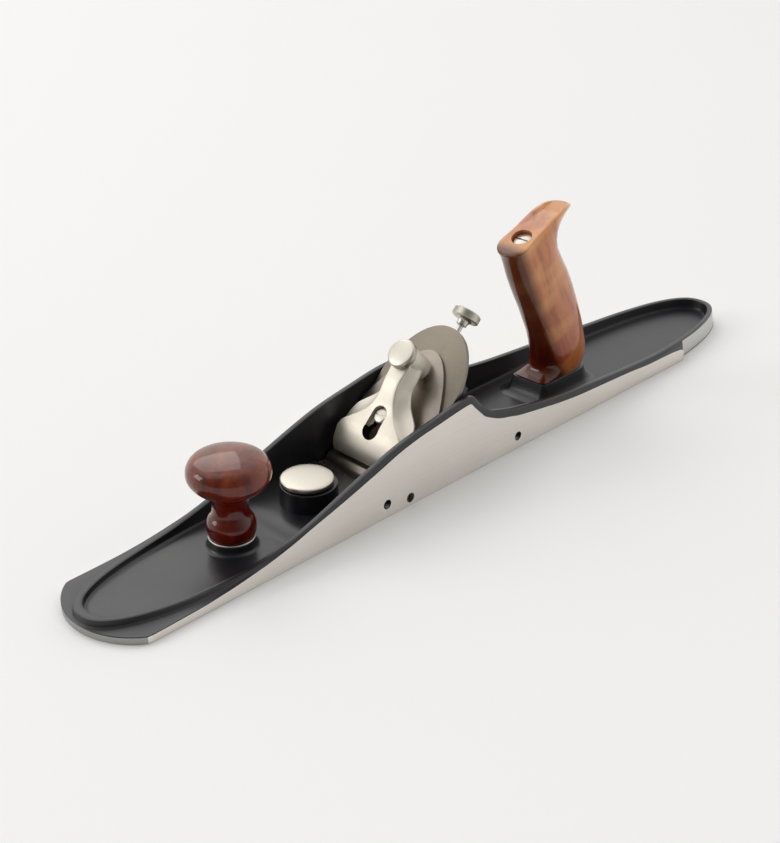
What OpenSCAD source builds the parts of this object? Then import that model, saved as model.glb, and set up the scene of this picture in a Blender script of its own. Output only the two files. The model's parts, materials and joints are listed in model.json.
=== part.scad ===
// Jointer hand plane: iron casting, adjustable toe, 45 degree blade assembly.
// X runs from the toe (-X) to the heel (+X), Y across, Z up from the sole.
// Bed frame: w runs up the bed from the mouth, h is the height above the bed.

/* [Casting] */
// Overall length, toe to heel
plane_len = 560; // [470:1:680]
// Width across the machined sides
body_w = 71.4; // [62:0.1:90]
// Height of the side walls at their peak
wall_h = 51.5; // [45:0.5:60]
// Thickness of the side walls
wall_t = 4; // [3:0.1:5]
// Height of the tray floor above the sole
floor_z = 5.2; // [4.8:0.1:7]
// Height of the flange around the toe
flange_h = 4.7; // [4:0.1:5]

/* [Blade assembly] */
// Thickness of the blade
blade_t = 3.2; // [2.4:0.1:4]
// Length of the blade measured up the bed
blade_len = 112; // [100:1:125]
// Thickness of the chip breaker
chip_t = 3; // [2:0.1:3.5]
// Gap between the blade and each side wall
blade_side_gap = 1.55; // [1.3:0.05:3]
// Radius of the adjuster wheel
wheel_r = 8.8; // [7:0.1:11]
// Radius of the lever cap thumb knob
thumb_r = 9.2; // [7:0.1:10]

/* [Toe] */
// Length of the sliding toe plate
toe_plate_len = 52; // [46:1:58]
// Radius of the toe lock knob
lock_r = 15.6; // [12:0.1:18]
// Mouth gap in front of the blade edge
mouth_gap = 2.4; // [1.8:0.1:4]

/* [Handles] */
// Largest radius of the front knob
knob_r = 23.6; // [19:0.1:26]
// Height of the front knob top above the sole
knob_top = 61.8; // [54:0.1:70]
// Height of the tote horn above the sole
tote_top = 132.5; // [118:0.5:142]
// Thickness of the tote
tote_t = 26; // [22:0.5:29]

/* [Fits] */
// Radial clearance of shafts and screws that turn
run_fit = 0.05; // [0.02:0.01:0.09]
// Gap between parts that slide on each other
slide_gap = 0.1; // [0.05:0.01:0.2]
// Radius of the tapped fence holes
fence_hole_r = 3; // [2:0.1:3.5]
// Radius of the blade set screws
set_screw_r = 3; // [2.5:0.1:3.2]

/* [Hidden] */
$fn = 64;
eps = 0.01;

// ends and side line of the casting
toe_x = -plane_len / 2;
heel_x = plane_len / 2;
half_w = body_w / 2;
inner_half_w = half_w - wall_t;
end_run = plane_len * 0.268;
end_steps = 14;
toe_rim_x = toe_x + 2.5;
toe_rim_h = 8.5;
heel_rim_h = 12.3;
toe_arc_r = body_w * 0.602;
toe_wall = 5.5;
heel_wall = 4.5;

// side wall line: stations between the toe rim and the peak
peak_x = -17.5;
front_run = peak_x - toe_x;
x_ramp = toe_x + 0.219 * front_run;
x_rise = toe_x + 0.518 * front_run;
x_ease = toe_x + 0.695 * front_run;
x_top = toe_x + 0.852 * front_run;
top_ease = 0.39;
rise_slope = (wall_h - toe_rim_h)
    / ((x_rise - x_ramp) / 2 + (x_ease - x_rise) + (1 + top_ease) / 2 * (x_top - x_ease)
        + top_ease * (peak_x - x_top));
z_rise = toe_rim_h + rise_slope * (x_rise - x_ramp) / 2;
z_ease = z_rise + rise_slope * (x_ease - x_rise);
z_top = z_ease + rise_slope * (1 + top_ease) / 2 * (x_top - x_ease);

// side wall line: stations behind the peak
foot_x = 0.1;
x_back1 = 0.32 * heel_x;
x_back2 = 0.534 * heel_x;
x_back3 = 0.816 * heel_x;
back_slope = 0.0735;
back_curve = 0.0011;
z_back2 = heel_rim_h + back_slope * (x_back3 - x_back2) / 2;
z_back1 = z_back2 + back_slope * (x_back2 - x_back1);

// flange around the toe and flat sides at the heel
x_flange = toe_x + 0.21 * front_run;
x_flange_end = toe_x + 0.343 * front_run;
flange_end_h = 10.5;
side_end_x = 0.738 * heel_x;
side_end_h = 9.5;

// bed
mouth_x = -72.5;
bed_a = 45;
blade_w = 2 * (inner_half_w - blade_side_gap);
blade_h0 = slide_gap + 0.05;
blade_h1 = blade_h0 + blade_t;
edge_lift = 0.3;
edge_w = edge_lift / sin(bed_a) - blade_h1;
edge_x = mouth_x + (edge_w - blade_h1) * cos(bed_a);
bevel_run = blade_t / tan(30);
chip_h1 = blade_h1 + chip_t;
chip_lip_w = edge_w + 1.4;
chip_w = blade_w - 0.6;
chip_top_w = 91;
chip_screw_w = 19;
cap_screw_w = 39.8;
cap_screw_r = 3.2;
slot_w0 = 31.4;
slot_w1 = 45.4;
slot_r = 4;
carrier_w = 56;
pin_r = 4.75;
pivot_w = 76;
pivot_r = 6;
rod_h = -4.6;
rod_r = 1.75;
wheel_w = 118.5;
wheel_t = 5.4;
set_screw_w = 5.8;

// frog
frog_half_w = blade_w / 2 - 2.1;
frog_block_half_w = 15;
frog_plate_t = 5;
channel_half_w = 8;
frog_back_x = 0;
frog_screw_x = -4;
frog_screw_y = frog_half_w - 6;
frog_screw_r = 3;

// toe
deck_x0 = mouth_x - 88;
deck_x1 = mouth_x - 10;
deck_z = 9;
deck_ramp = 22;
web_z = 4.5;
recess_half_w = half_w - 5.1;
toe_plate_x1 = edge_x - mouth_gap;
toe_plate_x0 = toe_plate_x1 - toe_plate_len;
toe_open = 6;
toe_close = 1;
lock_x = mouth_x - 45.5;
stud_r = 4;
boss_r = lock_r + 1.5;
boss_z = deck_z + 12;
washer_z = boss_z + slide_gap;
washer_t = 0.8;
lock_z = washer_z + washer_t + slide_gap;
lock_t = 3.4;
lock_top_z = lock_z + lock_t;
stop_r = 2.5;
stop_z = deck_z + 3.7;

// front knob
knob_x = min(toe_x + 105, lock_x - lock_r - 17.5);
knob_boss_z = 10.8;
knob_ring_t = 1;
knob_z0 = knob_boss_z + knob_ring_t;
knob_base_r = 12.6;
knob_waist_r = 10.2;
knob_stud_r = 4;
insert_r = 6;
insert_top = knob_z0 + 26;

// tote
pad_z = 16.8;
tote_x0 = 79.5;
tote_x1 = 129;
tote_lean = 24.5;
tote_bolt_x = 67.1;
tote_bolt_z = 117.6;
tote_rod_r = 2.5;
tote_nut_r = 5.6;

// tapped fence holes in the near side
fence_x1 = -88.8;
fence_x2 = 26.9;
fence_z = 8.8;

// quadratic curve from p0 to p2, steered by p1
function bez(p0, p1, p2, n) =
    [for (i = [0:n]) let (t = i / n) (1 - t) * (1 - t) * p0 + 2 * t * (1 - t) * p1 + t * t * p2];
// n evenly spaced numbers from a to b
function spread(a, b, n) = [for (i = [0:n - 1]) a + (b - a) * i / (n - 1)];
// half width of a rounded end, s away from its tip
function end_half_w(s, hw) =
    hw * pow(1 - pow(1 - min(s, end_run) / end_run, 2.5), 1 / 2.4);
// distances from the tip, closer together near it
function tip_steps(first) = [for (i = [first:end_steps]) end_run * pow(i / end_steps, 2)];
// height of the side wall between the toe and the peak
function front_z(x) =
    x < x_ramp ? toe_rim_h :
    x < x_rise ? toe_rim_h + rise_slope * pow(x - x_ramp, 2) / (2 * (x_rise - x_ramp)) :
    x < x_ease ? z_rise + rise_slope * (x - x_rise) :
    x < x_top ? z_ease + rise_slope * (x - x_ease)
        - rise_slope * (1 - top_ease) * pow(x - x_ease, 2) / (2 * (x_top - x_ease)) :
    z_top + rise_slope * top_ease * (x - x_top);
// height of the side wall behind the step
function rear_z(x) =
    x < x_back1 ? z_back1 + back_slope * (x_back1 - x) + back_curve * pow(x_back1 - x, 2) :
    x < x_back2 ? z_back2 + back_slope * (x_back2 - x) :
    x < x_back3 ? heel_rim_h + back_slope * pow(x_back3 - x, 2) / (2 * (x_back3 - x_back2)) :
    heel_rim_h;
// half width of the blade, t from 0 at the shoulder to 1 at the top
function blade_half_w(t) = blade_w / 2 * pow(1 - pow(t, 1.5), 1 / 2.2);

// carries its children into the bed frame: X is w, Z is h
module bed() {
    translate([mouth_x, 0, 0]) rotate([0, -bed_a, 0]) children();
}

// a side outline in X and Z, extruded across Y
module across(half, pts) {
    translate([0, half, 0]) rotate([90, 0, 0]) linear_extrude(2 * half) polygon(pts);
}

// a hole or pin along the bed normal at w
module bed_bore(w, r, h0, h1) {
    bed() translate([w, 0, h0]) cylinder(r = r, h = h1 - h0);
}

// closed plan with both ends rounded
module rounded_plan(x0, x1, hw) {
    polygon(concat(
        [for (s = tip_steps(0)) [x0 + s, end_half_w(s, hw)]],
        [for (i = [end_steps:-1:0]) let (s = end_run * pow(i / end_steps, 2))
            [x1 - s, end_half_w(s, hw)]],
        [for (s = tip_steps(1)) [x1 - s, -end_half_w(s, hw)]],
        [for (i = [end_steps:-1:1]) let (s = end_run * pow(i / end_steps, 2))
            [x0 + s, -end_half_w(s, hw)]]));
}

// side line of the walls as a closed outline
function wall_line() =
    let (foot_z = rear_z(foot_x))
    concat(
        [[toe_x - 1, -1], [toe_x - 1, toe_rim_h]],
        [for (x = spread(x_ramp, x_rise, 8)) [x, front_z(x)]],
        [for (x = spread(x_ease, x_top, 5)) [x, front_z(x)]],
        [[peak_x, wall_h], [peak_x + 1, wall_h]],
        bez([foot_x - 7, foot_z + 7], [foot_x, foot_z], [foot_x + 9, rear_z(foot_x + 9)], 5),
        [for (x = spread(foot_x + 20, x_back1, 5)) [x, rear_z(x)]],
        [for (x = spread(x_back2, x_back3, 5)) [x, rear_z(x)]],
        [[heel_x + 1, heel_rim_h], [heel_x + 1, -1]]);

module casting_shell() {
    difference() {
        union() {
            intersection() {
                linear_extrude(wall_h + 5) rounded_plan(toe_rim_x, heel_x, half_w);
                across(half_w + 1, wall_line());
            }
            intersection() {
                linear_extrude(flange_end_h + 5) toe_plan();
                across(half_w + 1, [[toe_x - 1, -1], [toe_x - 1, flange_h],
                    [x_flange, flange_h], [x_flange_end, flange_end_h], [x_flange_end, -1]]);
            }
            translate([0, -half_w, 0]) cube([side_end_x, body_w, side_end_h]);
        }
        translate([0, 0, floor_z]) linear_extrude(wall_h + 5)
            rounded_plan(toe_rim_x + toe_wall, heel_x - heel_wall, inner_half_w);
    }
}

// plan of the toe flange: square sides and an arc at the front
module toe_plan() {
    intersection() {
        translate([toe_x, -half_w]) square([front_run, body_w]);
        union() {
            translate([toe_x + toe_arc_r, 0]) circle(r = toe_arc_r, $fn = 96);
            translate([toe_x + toe_arc_r, -half_w]) square([front_run, body_w]);
        }
    }
}

module stadium_slot(x0, x1, r, z0, z1) {
    for (x = [x0, x1]) translate([x, 0, z0]) cylinder(r = r, h = z1 - z0);
    translate([x0, -r, z0]) cube([x1 - x0, 2 * r, z1 - z0]);
}

module tote_pad(grow, z0, z1) {
    r = tote_t / 2 + grow;
    translate([tote_x0 - grow, -r, z0])
        cube([tote_x1 - tote_x0 - tote_t / 2 + grow, 2 * r, z1 - z0]);
    translate([tote_x1 - tote_t / 2, 0, z0]) cylinder(r = r, h = z1 - z0);
}

module body() {
    color([0.1, 0.1, 0.11]) difference() {
        union() {
            casting_shell();
            across(inner_half_w + 0.5, [[deck_x0, 1], [deck_x0, floor_z - 0.1],
                [deck_x0 + deck_ramp, deck_z], [deck_x1, deck_z], [deck_x1, 1]]);
            translate([knob_x, 0, 1]) cylinder(r = 13, h = knob_boss_z - 1);
            translate([lock_x, 0, 5]) cylinder(r = boss_r, h = boss_z - 5);
            tote_pad(0.8, 1, pad_z);
        }
        // recess for the toe plate, open to the mouth
        translate([toe_plate_x0 - toe_open - 0.4, -recess_half_w, -1])
            cube([deck_x1 - toe_plate_x0 + toe_open + 1, 2 * recess_half_w, web_z + 1]);
        // mouth, its rear face in the plane of the bed
        across(inner_half_w - 0.2, [[deck_x1, -2], [mouth_x - 2 + slide_gap * 1.5, -2],
            [mouth_x + 12 + slide_gap * 1.5, 12], [deck_x1, 12]]);
        // slot for the toe lock stud
        stadium_slot(lock_x - toe_open, lock_x + toe_close, stud_r + 0.3, 0, boss_z + 1);
        // toe stop screw hole
        translate([lock_x, 0, stop_z]) rotate([0, 90, 0])
            cylinder(r = stop_r + run_fit, h = boss_r + 1);
        // knob stud
        translate([knob_x, 0, 2]) cylinder(r = knob_stud_r, h = knob_boss_z);
        // frog screws
        for (s = [-1, 1]) translate([frog_screw_x, s * frog_screw_y, 1.2])
            cylinder(r = frog_screw_r, h = floor_z);
        // blade set screws, one in each wall
        translate([mouth_x + (set_screw_w - blade_h0 - blade_t / 2) * cos(bed_a), 0,
            (set_screw_w + blade_h0 + blade_t / 2) * sin(bed_a)])
            rotate([90, 0, 0]) translate([0, 0, -half_w - 1])
                cylinder(r = set_screw_r + run_fit, h = body_w + 2);
        // tapped fence holes
        for (x = [fence_x1, fence_x2]) translate([x, -half_w - 1, fence_z])
            rotate([-90, 0, 0]) cylinder(r = fence_hole_r, h = wall_t + 1.5);
        // tote rod
        tote_axis() translate([0, 0, -pad_drop()])
            cylinder(r = tote_rod_r, h = 20);
    }
}

// frame on the tote bolt axis: Z points up and forward along the bolt
module tote_axis() {
    translate([tote_bolt_x, 0, tote_bolt_z]) rotate([0, -tote_lean, 0]) children();
}

// distance along the bolt from the nut seat down to just above the sole
function pad_drop() = (tote_bolt_z - 3.5) / cos(tote_lean);

module front_knob() {
    h = knob_top - knob_z0;
    color([0.45, 0.2, 0.12]) difference() {
        translate([knob_x, 0, knob_z0]) rotate_extrude($fn = 96) polygon(concat(
            [[0, 0]],
            bez([knob_base_r, 0], [knob_base_r + 1.3, 0.04 * h], [knob_base_r + 1.4, 0.12 * h], 4),
            bez([knob_base_r + 1.4, 0.13 * h], [knob_base_r + 1.5, 0.19 * h],
                [knob_base_r - 0.3, 0.24 * h], 5),
            bez([knob_base_r - 0.5, 0.25 * h], [knob_waist_r, 0.29 * h], [knob_waist_r, 0.38 * h], 5),
            bez([knob_waist_r, 0.39 * h], [knob_waist_r, 0.5 * h], [knob_r - 6, 0.6 * h], 6),
            bez([knob_r - 5.8, 0.61 * h], [knob_r, 0.69 * h], [knob_r, 0.78 * h], 6),
            bez([knob_r, 0.79 * h], [knob_r - 0.1, 0.91 * h], [knob_r - 4.4, 0.955 * h], 6),
            bez([knob_r - 4.7, 0.958 * h], [knob_r - 10, h], [0, h], 6)));
        translate([knob_x, 0, knob_z0 - 1]) cylinder(r = insert_r, h = insert_top - knob_z0 + 1);
    }
}

module knob_ring() {
    color("silver") translate([knob_x, 0, knob_boss_z]) difference() {
        cylinder(r = knob_base_r + 0.7, h = knob_ring_t);
        translate([0, 0, -1]) cylinder(r = insert_r - 0.5, h = knob_ring_t + 2);
    }
}

module knob_stud() {
    color("silver") translate([knob_x, 0, 2])
        cylinder(r = knob_stud_r, h = insert_top - 6 - 2);
}

module knob_insert() {
    color([0.7, 0.55, 0.25]) difference() {
        translate([knob_x, 0, knob_z0]) cylinder(r = insert_r, h = insert_top - knob_z0);
        translate([knob_x, 0, knob_z0 - 1])
            cylinder(r = knob_stud_r, h = insert_top - 6 - knob_z0 + 1);
    }
}

module toe_plate() {
    color([0.62, 0.61, 0.58]) difference() {
        translate([toe_plate_x0, -recess_half_w + slide_gap, 0])
            cube([toe_plate_len, 2 * (recess_half_w - slide_gap), web_z - slide_gap]);
        translate([lock_x, 0, 1]) cylinder(r = stud_r, h = web_z);
    }
}

module toe_lock_stud() {
    color("silver") translate([lock_x, 0, 1]) cylinder(r = stud_r, h = lock_top_z - 2.5 - 1);
}

module toe_lock_washer() {
    color("silver") translate([lock_x, 0, washer_z]) difference() {
        cylinder(r = lock_r - 4, h = washer_t);
        translate([0, 0, -1]) cylinder(r = stud_r, h = washer_t + 2);
    }
}

module toe_lock_knob() {
    color([0.85, 0.84, 0.79]) translate([lock_x, 0, lock_z]) difference() {
        rotate_extrude($fn = 96) polygon(concat([[0, 0], [lock_r - 0.6, 0]],
            bez([lock_r, 0.7], [lock_r, 2.2], [lock_r - 1.2, lock_t - 0.4], 4), [[0, lock_t]]));
        translate([0, 0, -1]) cylinder(r = stud_r + run_fit, h = lock_t - 1);
    }
}

module toe_stop_screw() {
    x0 = lock_x + toe_close + stud_r + 0.3;
    color("silver") translate([x0, 0, stop_z]) rotate([0, 90, 0]) difference() {
        cylinder(r = stop_r, h = 7.5);
        translate([-0.5, -stop_r - 1, 6.3]) cube([1, 2 * stop_r + 2, 2]);
    }
}

module frog() {
    color([0.13, 0.13, 0.14]) difference() {
        intersection() {
            union() {
                bed() translate([8, -frog_half_w, -frog_plate_t])
                    cube([72, 2 * frog_half_w, frog_plate_t]);
                across(frog_block_half_w, [[mouth_x + floor_z, floor_z],
                    [mouth_x + 58.2, 58.2], [frog_back_x - 4, 58.2], [frog_back_x, 50],
                    [frog_back_x + 4, floor_z]]);
                translate([mouth_x + 14, -frog_half_w, floor_z])
                    cube([frog_back_x + 4 - mouth_x - 14, 2 * frog_half_w, 5]);
            }
            // cut level on the tray floor and flat on the bed
            across(half_w, [[mouth_x + floor_z, floor_z], [mouth_x + 70, 70], [60, 70],
                [60, floor_z]]);
        }
        bed() translate([chip_screw_w - 8.5, -channel_half_w, -4.4]) cube([80, 2 * channel_half_w, 6]);
        bed() translate([carrier_w - 9.5, -channel_half_w, -10.6])
            cube([50, 2 * channel_half_w, 12]);
        bed_bore(cap_screw_w, cap_screw_r + run_fit, -21, 1);
        bed_bore(pivot_w, pivot_r + run_fit, -14.3, 1);
        for (s = [-1, 1]) translate([frog_screw_x, s * frog_screw_y, 0])
            cylinder(r = frog_screw_r, h = 40);
    }
}

module frog_screws() {
    head_z = floor_z + 5;
    color("silver") for (s = [-1, 1]) translate([frog_screw_x, s * frog_screw_y, 0]) {
        difference() {
            translate([0, 0, head_z]) cylinder(r = 5, h = 3);
            translate([-6, -0.6, head_z + 1.8]) cube([12, 1.2, 3]);
        }
        translate([0, 0, 1.2]) cylinder(r = frog_screw_r, h = head_z - 1.2);
    }
}

module pivot_barrel() {
    color("silver") difference() {
        bed_bore(pivot_w, pivot_r, -14.2, -0.3);
        bed() translate([pivot_w - 10, 0, rod_h]) rotate([0, 90, 0])
            cylinder(r = rod_r + run_fit, h = 20);
    }
}

module feed_rod() {
    color("silver") bed() translate([0, 0, rod_h]) rotate([0, 90, 0]) {
        translate([0, 0, carrier_w - 8.5]) cylinder(r = rod_r, h = wheel_w + 2 - carrier_w + 8.5);
        for (w = [pivot_w - pivot_r - 1.5, pivot_w + pivot_r + 0.1])
            translate([0, 0, w]) cylinder(r = 3, h = 1.4);
    }
}

module adjuster_wheel() {
    color([0.8, 0.79, 0.74]) bed() translate([0, 0, rod_h]) rotate([0, 90, 0]) difference() {
        union() {
            translate([0, 0, wheel_w - 4]) cylinder(r1 = 3.2, r2 = 4.4, h = 4);
            translate([0, 0, wheel_w]) cylinder(r = wheel_r, h = wheel_t);
        }
        translate([0, 0, wheel_w - 5]) cylinder(r = rod_r, h = 7);
    }
}

module feed_carrier() {
    color("silver") difference() {
        union() {
            bed() translate([carrier_w - 5.5, -6, -9.8]) cube([11, 12, 9.7]);
            bed_bore(carrier_w, pin_r, -1, blade_h1 - 0.1);
        }
        bed() translate([carrier_w - 8, 0, rod_h]) rotate([0, 90, 0])
            cylinder(r = rod_r + run_fit, h = 16);
    }
}

// slot along the bed for the lever cap screw
module cap_screw_slot(h0, h1) {
    bed() stadium_slot(slot_w0 + slot_r, slot_w1 - slot_r, slot_r, h0, h1);
}

module blade() {
    shoulder = 0.64 * blade_len;
    top_w = edge_w + blade_len;
    n = 16;
    steps = [for (i = [0:n]) 1 - pow(1 - i / n, 2)];
    color([0.55, 0.53, 0.47]) difference() {
        bed() intersection() {
            across(blade_w, [[edge_w, blade_h1], [edge_w + bevel_run, blade_h0],
                [top_w + 1, blade_h0], [top_w + 1, blade_h1]]);
            linear_extrude(blade_h1 + 1) polygon(concat(
                [[edge_w - 1, -blade_w / 2]],
                [for (t = steps) [shoulder + (top_w - shoulder) * t, -blade_half_w(t)]],
                [for (i = [n - 1:-1:0]) let (t = steps[i])
                    [shoulder + (top_w - shoulder) * t, blade_half_w(t)]],
                [[edge_w - 1, blade_w / 2]]));
        }
        cap_screw_slot(-1, blade_h1 + 1);
        bed_bore(chip_screw_w, 4.2, -1, blade_h1 + 1);
        bed_bore(carrier_w, pin_r + 0.03, -1, blade_h1 + 1);
    }
}

module chip_breaker() {
    n = 14;
    arch = chip_w * chip_w / 4 / 42;
    h0 = blade_h1;
    color([0.66, 0.64, 0.58]) difference() {
        bed() intersection() {
            across(chip_w, concat(
                bez([chip_lip_w, h0], [chip_lip_w + 4.5, h0 + 6.2], [8, h0 + 4.9], 7),
                bez([8.8, h0 + 4.7], [10.5, chip_h1], [15, chip_h1], 5),
                [[chip_top_w + 1, chip_h1], [chip_top_w + 1, h0]],
                bez([19, h0], [13, h0], [9, h0 + 1.6], 4),
                bez([8, h0 + 1.9], [4, h0 + 3.2], [chip_lip_w + 0.8, h0], 4)));
            linear_extrude(30) polygon(concat(
                [for (i = [0:n]) let (d = 42 * pow(i / n, 2)) [chip_top_w - d, sqrt(arch * d)]],
                [[chip_lip_w - 1, chip_w / 2], [chip_lip_w - 1, -chip_w / 2]],
                [for (i = [n:-1:1]) let (d = 42 * pow(i / n, 2)) [chip_top_w - d, -sqrt(arch * d)]]));
        }
        cap_screw_slot(0, chip_h1 + 1);
        bed_bore(chip_screw_w, 3, 0, chip_h1 + 6);
    }
}

module chip_breaker_screw() {
    color("silver") {
        bed_bore(chip_screw_w, 3, blade_h0 - 1, chip_h1);
        bed_bore(chip_screw_w, 6.3, blade_h0 - 3, blade_h0);
    }
}

// side profile of the lever cap in w and h
function cap_profile() =
    let (u = chip_h1 + 0.2)
    concat(
        [[15.6, u], [14.5, u + 0.75], [11.2, u + 2.7]],
        bez([10.9, u + 3.8], [12.6, 17.5], [20, 19.6], 5),
        bez([21, 19.8], [28, 21], [36, 21], 4),
        bez([38, 21.1], [46, 21.4], [53, 24.2], 5),
        bez([54, 24.6], [60, 26.6], [67, 26.6], 5),
        [[76, 26.6], [76, 15], [70, 15]],
        bez([66, 15], [54, 15], [46, 14], 4),
        bez([44, 13.8], [34, 13.6], [26, 13.2], 4),
        bez([24, 13], [20, 12.2], [18.6, u], 4));

// half of the plan outline of the lever cap
function cap_half_plan() =
    let (hw = blade_w / 2 - 1.9)
    concat(
        [[10, hw - 2]], bez([12, hw - 1.8], [24, hw], [26, hw - 0.6], 4),
        bez([27, hw - 1.2], [34, 11], [47, 8.6], 7),
        bez([48, 8.5], [56, 7.4], [66, 7.4], 4),
        [[76.7, 7.4]]);

module lever_cap() {
    half = cap_half_plan();
    color([0.87, 0.86, 0.8]) difference() {
        union() {
            bed() intersection() {
                across(blade_w, cap_profile());
                linear_extrude(40) polygon(concat(half,
                    [for (i = [len(half) - 1:-1:0]) [half[i][0], -half[i][1]]]));
            }
            bed_bore(76.7, 7.8, 11.5, 26.8);
        }
        // keyhole: round entry, recessed track up to the screw seat
        bed_bore(29, 5.8, 5, 30);
        bed() stadium_slot(29, cap_screw_w, cap_screw_r + 0.4, 5, 30);
        bed() stadium_slot(29, cap_screw_w, 5.3, 17.4, 30);
        bed_bore(76.7, 3 + run_fit, 5, 30);
    }
}

module lever_knob() {
    color([0.85, 0.84, 0.79]) {
        bed() translate([76.7, 0, chip_h1 + 0.15]) cylinder(r = 3, h = 27.5 - chip_h1);
        bed() translate([76.7, 0, 27.3]) cylinder(r = 5.5, h = 1);
        bed() translate([76.7, 0, 28]) rotate_extrude($fn = 96) polygon(concat(
            [[0, 0], [thumb_r - 0.5, 0]],
            bez([thumb_r, 0.5], [thumb_r, 3.8], [thumb_r - 1, 4.5], 3), [[0, 5.2]]));
    }
}

module lever_cap_screw() {
    color([0.85, 0.84, 0.79]) difference() {
        union() {
            bed_bore(cap_screw_w, cap_screw_r, -19.5, 18);
            bed_bore(cap_screw_w, 4.9, 17.4 + slide_gap, 20);
        }
        bed() translate([cap_screw_w - 0.6, -6, 18.8]) cube([1.2, 12, 3]);
    }
}

// headless screw in a side wall; side is -1 near, +1 far
module set_screw(side) {
    h = blade_h0 + blade_t / 2;
    color("silver") translate([mouth_x + (set_screw_w - h) * cos(bed_a), 0,
        (set_screw_w + h) * sin(bed_a)]) rotate([-90 * side, 0, 0]) difference() {
        translate([0, 0, inner_half_w - 0.3]) cylinder(r = set_screw_r, h = wall_t - 0.4);
        translate([-0.5, -set_screw_r - 1, half_w - 2]) cube([1, 2 * set_screw_r + 2, 3]);
    }
}

module set_screw_near() { set_screw(-1); }

module set_screw_far() { set_screw(1); }

// side outline of the tote in X and Z
function tote_line() =
    concat(
        [[tote_x0, pad_z]],
        bez([tote_x0, pad_z + 0.6], [86, 24], [86.6, 30], 5),
        bez([86.8, 31], [86.6, 38], [82.6, 45], 4),
        bez([80, 50.5], [68, 76], [58, 96], 4),
        [[49.8, tote_top - 21.2], [50.8, tote_top - 20.1], [90, tote_top - 2.8]],
        bez([92, tote_top - 1.9], [98, tote_top + 0.4], [104, tote_top], 3),
        bez([106, tote_top - 0.2], [110.5, tote_top - 0.9], [110.5, tote_top - 3], 3),
        bez([109.5, tote_top - 5], [97, tote_top - 12.5], [95.8, tote_top - 20], 6),
        bez([95.6, tote_top - 22], [96, 104], [103, 95], 5),
        bez([104, 93.5], [120, 70], [126.6, 44], 6),
        bez([127.4, 41], [134.4, 27], [tote_x1, pad_z], 5));

module tote() {
    color([0.5, 0.24, 0.14]) difference() {
        intersection() {
            across(tote_t, tote_line());
            union() {
                tote_pad(0, pad_z, pad_z + 12);
                tote_axis() translate([0, 0, -118]) linear_extrude(135) hull() {
                    translate([-2.5, 0]) circle(r = tote_t / 2, $fn = 32);
                    translate([17.5, 0]) circle(r = tote_t / 2 - 1, $fn = 32);
                }
                translate([0, 0, 95]) linear_extrude(tote_top - 90) hull() {
                    translate([62.5, 0]) circle(r = tote_t / 2 - 1.2, $fn = 32);
                    translate([90, 0]) circle(r = tote_t / 2 - 2.6, $fn = 32);
                    translate([105.5, 0]) circle(r = 5, $fn = 32);
                }
            }
        }
        tote_axis() translate([0, 0, -150]) cylinder(r = tote_rod_r, h = 170);
        tote_axis() translate([0, 0, -2.5]) cylinder(r = tote_nut_r + 1, h = 30);
        tote_axis() translate([0, 0, -12]) cylinder(r = tote_nut_r - 1.6, h = 20);
    }
}

module tote_rod() {
    color("silver") tote_axis() translate([0, 0, -pad_drop()])
        cylinder(r = tote_rod_r, h = pad_drop() - 4);
}

module tote_nut() {
    color([0.85, 0.84, 0.79]) tote_axis() difference() {
        union() {
            translate([0, 0, -12]) cylinder(r = tote_nut_r - 1.6, h = 10);
            translate([0, 0, -2.5]) cylinder(r = tote_nut_r, h = 2.5);
        }
        translate([0, 0, -13]) cylinder(r = tote_rod_r, h = 9);
        translate([-0.6, -8, -1]) cube([1.2, 16, 3]);
    }
}

body();
front_knob();
knob_ring();
knob_stud();
knob_insert();
toe_plate();
toe_lock_stud();
toe_lock_washer();
toe_lock_knob();
toe_stop_screw();
frog();
frog_screws();
pivot_barrel();
feed_rod();
adjuster_wheel();
feed_carrier();
blade();
chip_breaker();
chip_breaker_screw();
lever_cap();
lever_knob();
lever_cap_screw();
set_screw_near();
set_screw_far();
tote();
tote_rod();
tote_nut();
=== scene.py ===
"""Looks of a long iron hand plane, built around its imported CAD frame.

Every mesh is in metres in the frame of the CAD: +X from toe to heel, +Y to the far side,
+Z up from the sole. The blade assembly is modelled in the bed frame, whose w axis runs up
the 45 degree bed from the mouth and whose h axis stands square to it.
"""
import json
import logging
import math
from dataclasses import dataclass, field
from enum import Enum, IntEnum
from typing import Callable, Iterable, Sequence

import bmesh
import bpy
from mathutils import Matrix, Vector


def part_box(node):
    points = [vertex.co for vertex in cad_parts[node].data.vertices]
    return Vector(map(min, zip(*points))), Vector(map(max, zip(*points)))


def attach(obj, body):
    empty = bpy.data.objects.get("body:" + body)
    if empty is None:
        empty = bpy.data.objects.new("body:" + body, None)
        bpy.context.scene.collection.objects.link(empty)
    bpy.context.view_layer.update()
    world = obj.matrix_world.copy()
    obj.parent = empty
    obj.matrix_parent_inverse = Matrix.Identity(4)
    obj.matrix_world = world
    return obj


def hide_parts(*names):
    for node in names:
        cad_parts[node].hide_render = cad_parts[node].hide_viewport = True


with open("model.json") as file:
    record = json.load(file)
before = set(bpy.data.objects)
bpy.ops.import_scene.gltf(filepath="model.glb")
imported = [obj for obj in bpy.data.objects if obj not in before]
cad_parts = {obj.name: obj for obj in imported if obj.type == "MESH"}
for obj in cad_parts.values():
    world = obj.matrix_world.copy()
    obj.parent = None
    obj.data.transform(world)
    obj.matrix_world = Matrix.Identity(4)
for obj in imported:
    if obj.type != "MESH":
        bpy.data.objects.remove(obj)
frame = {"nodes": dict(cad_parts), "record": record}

LOG = logging.getLogger("hand_plane")
MM = 0.001
WELD = 1e-7  # points closer than this are one, in metres
MOUTH_X = -72.5  # where the bed's plane meets the sole, in millimetres
CAP_SCREW_W = 39.8  # the lever cap screw's place up the bed, in millimetres
THUMB_W = 76.7  # the thumb knob's place up the bed, in millimetres
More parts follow.
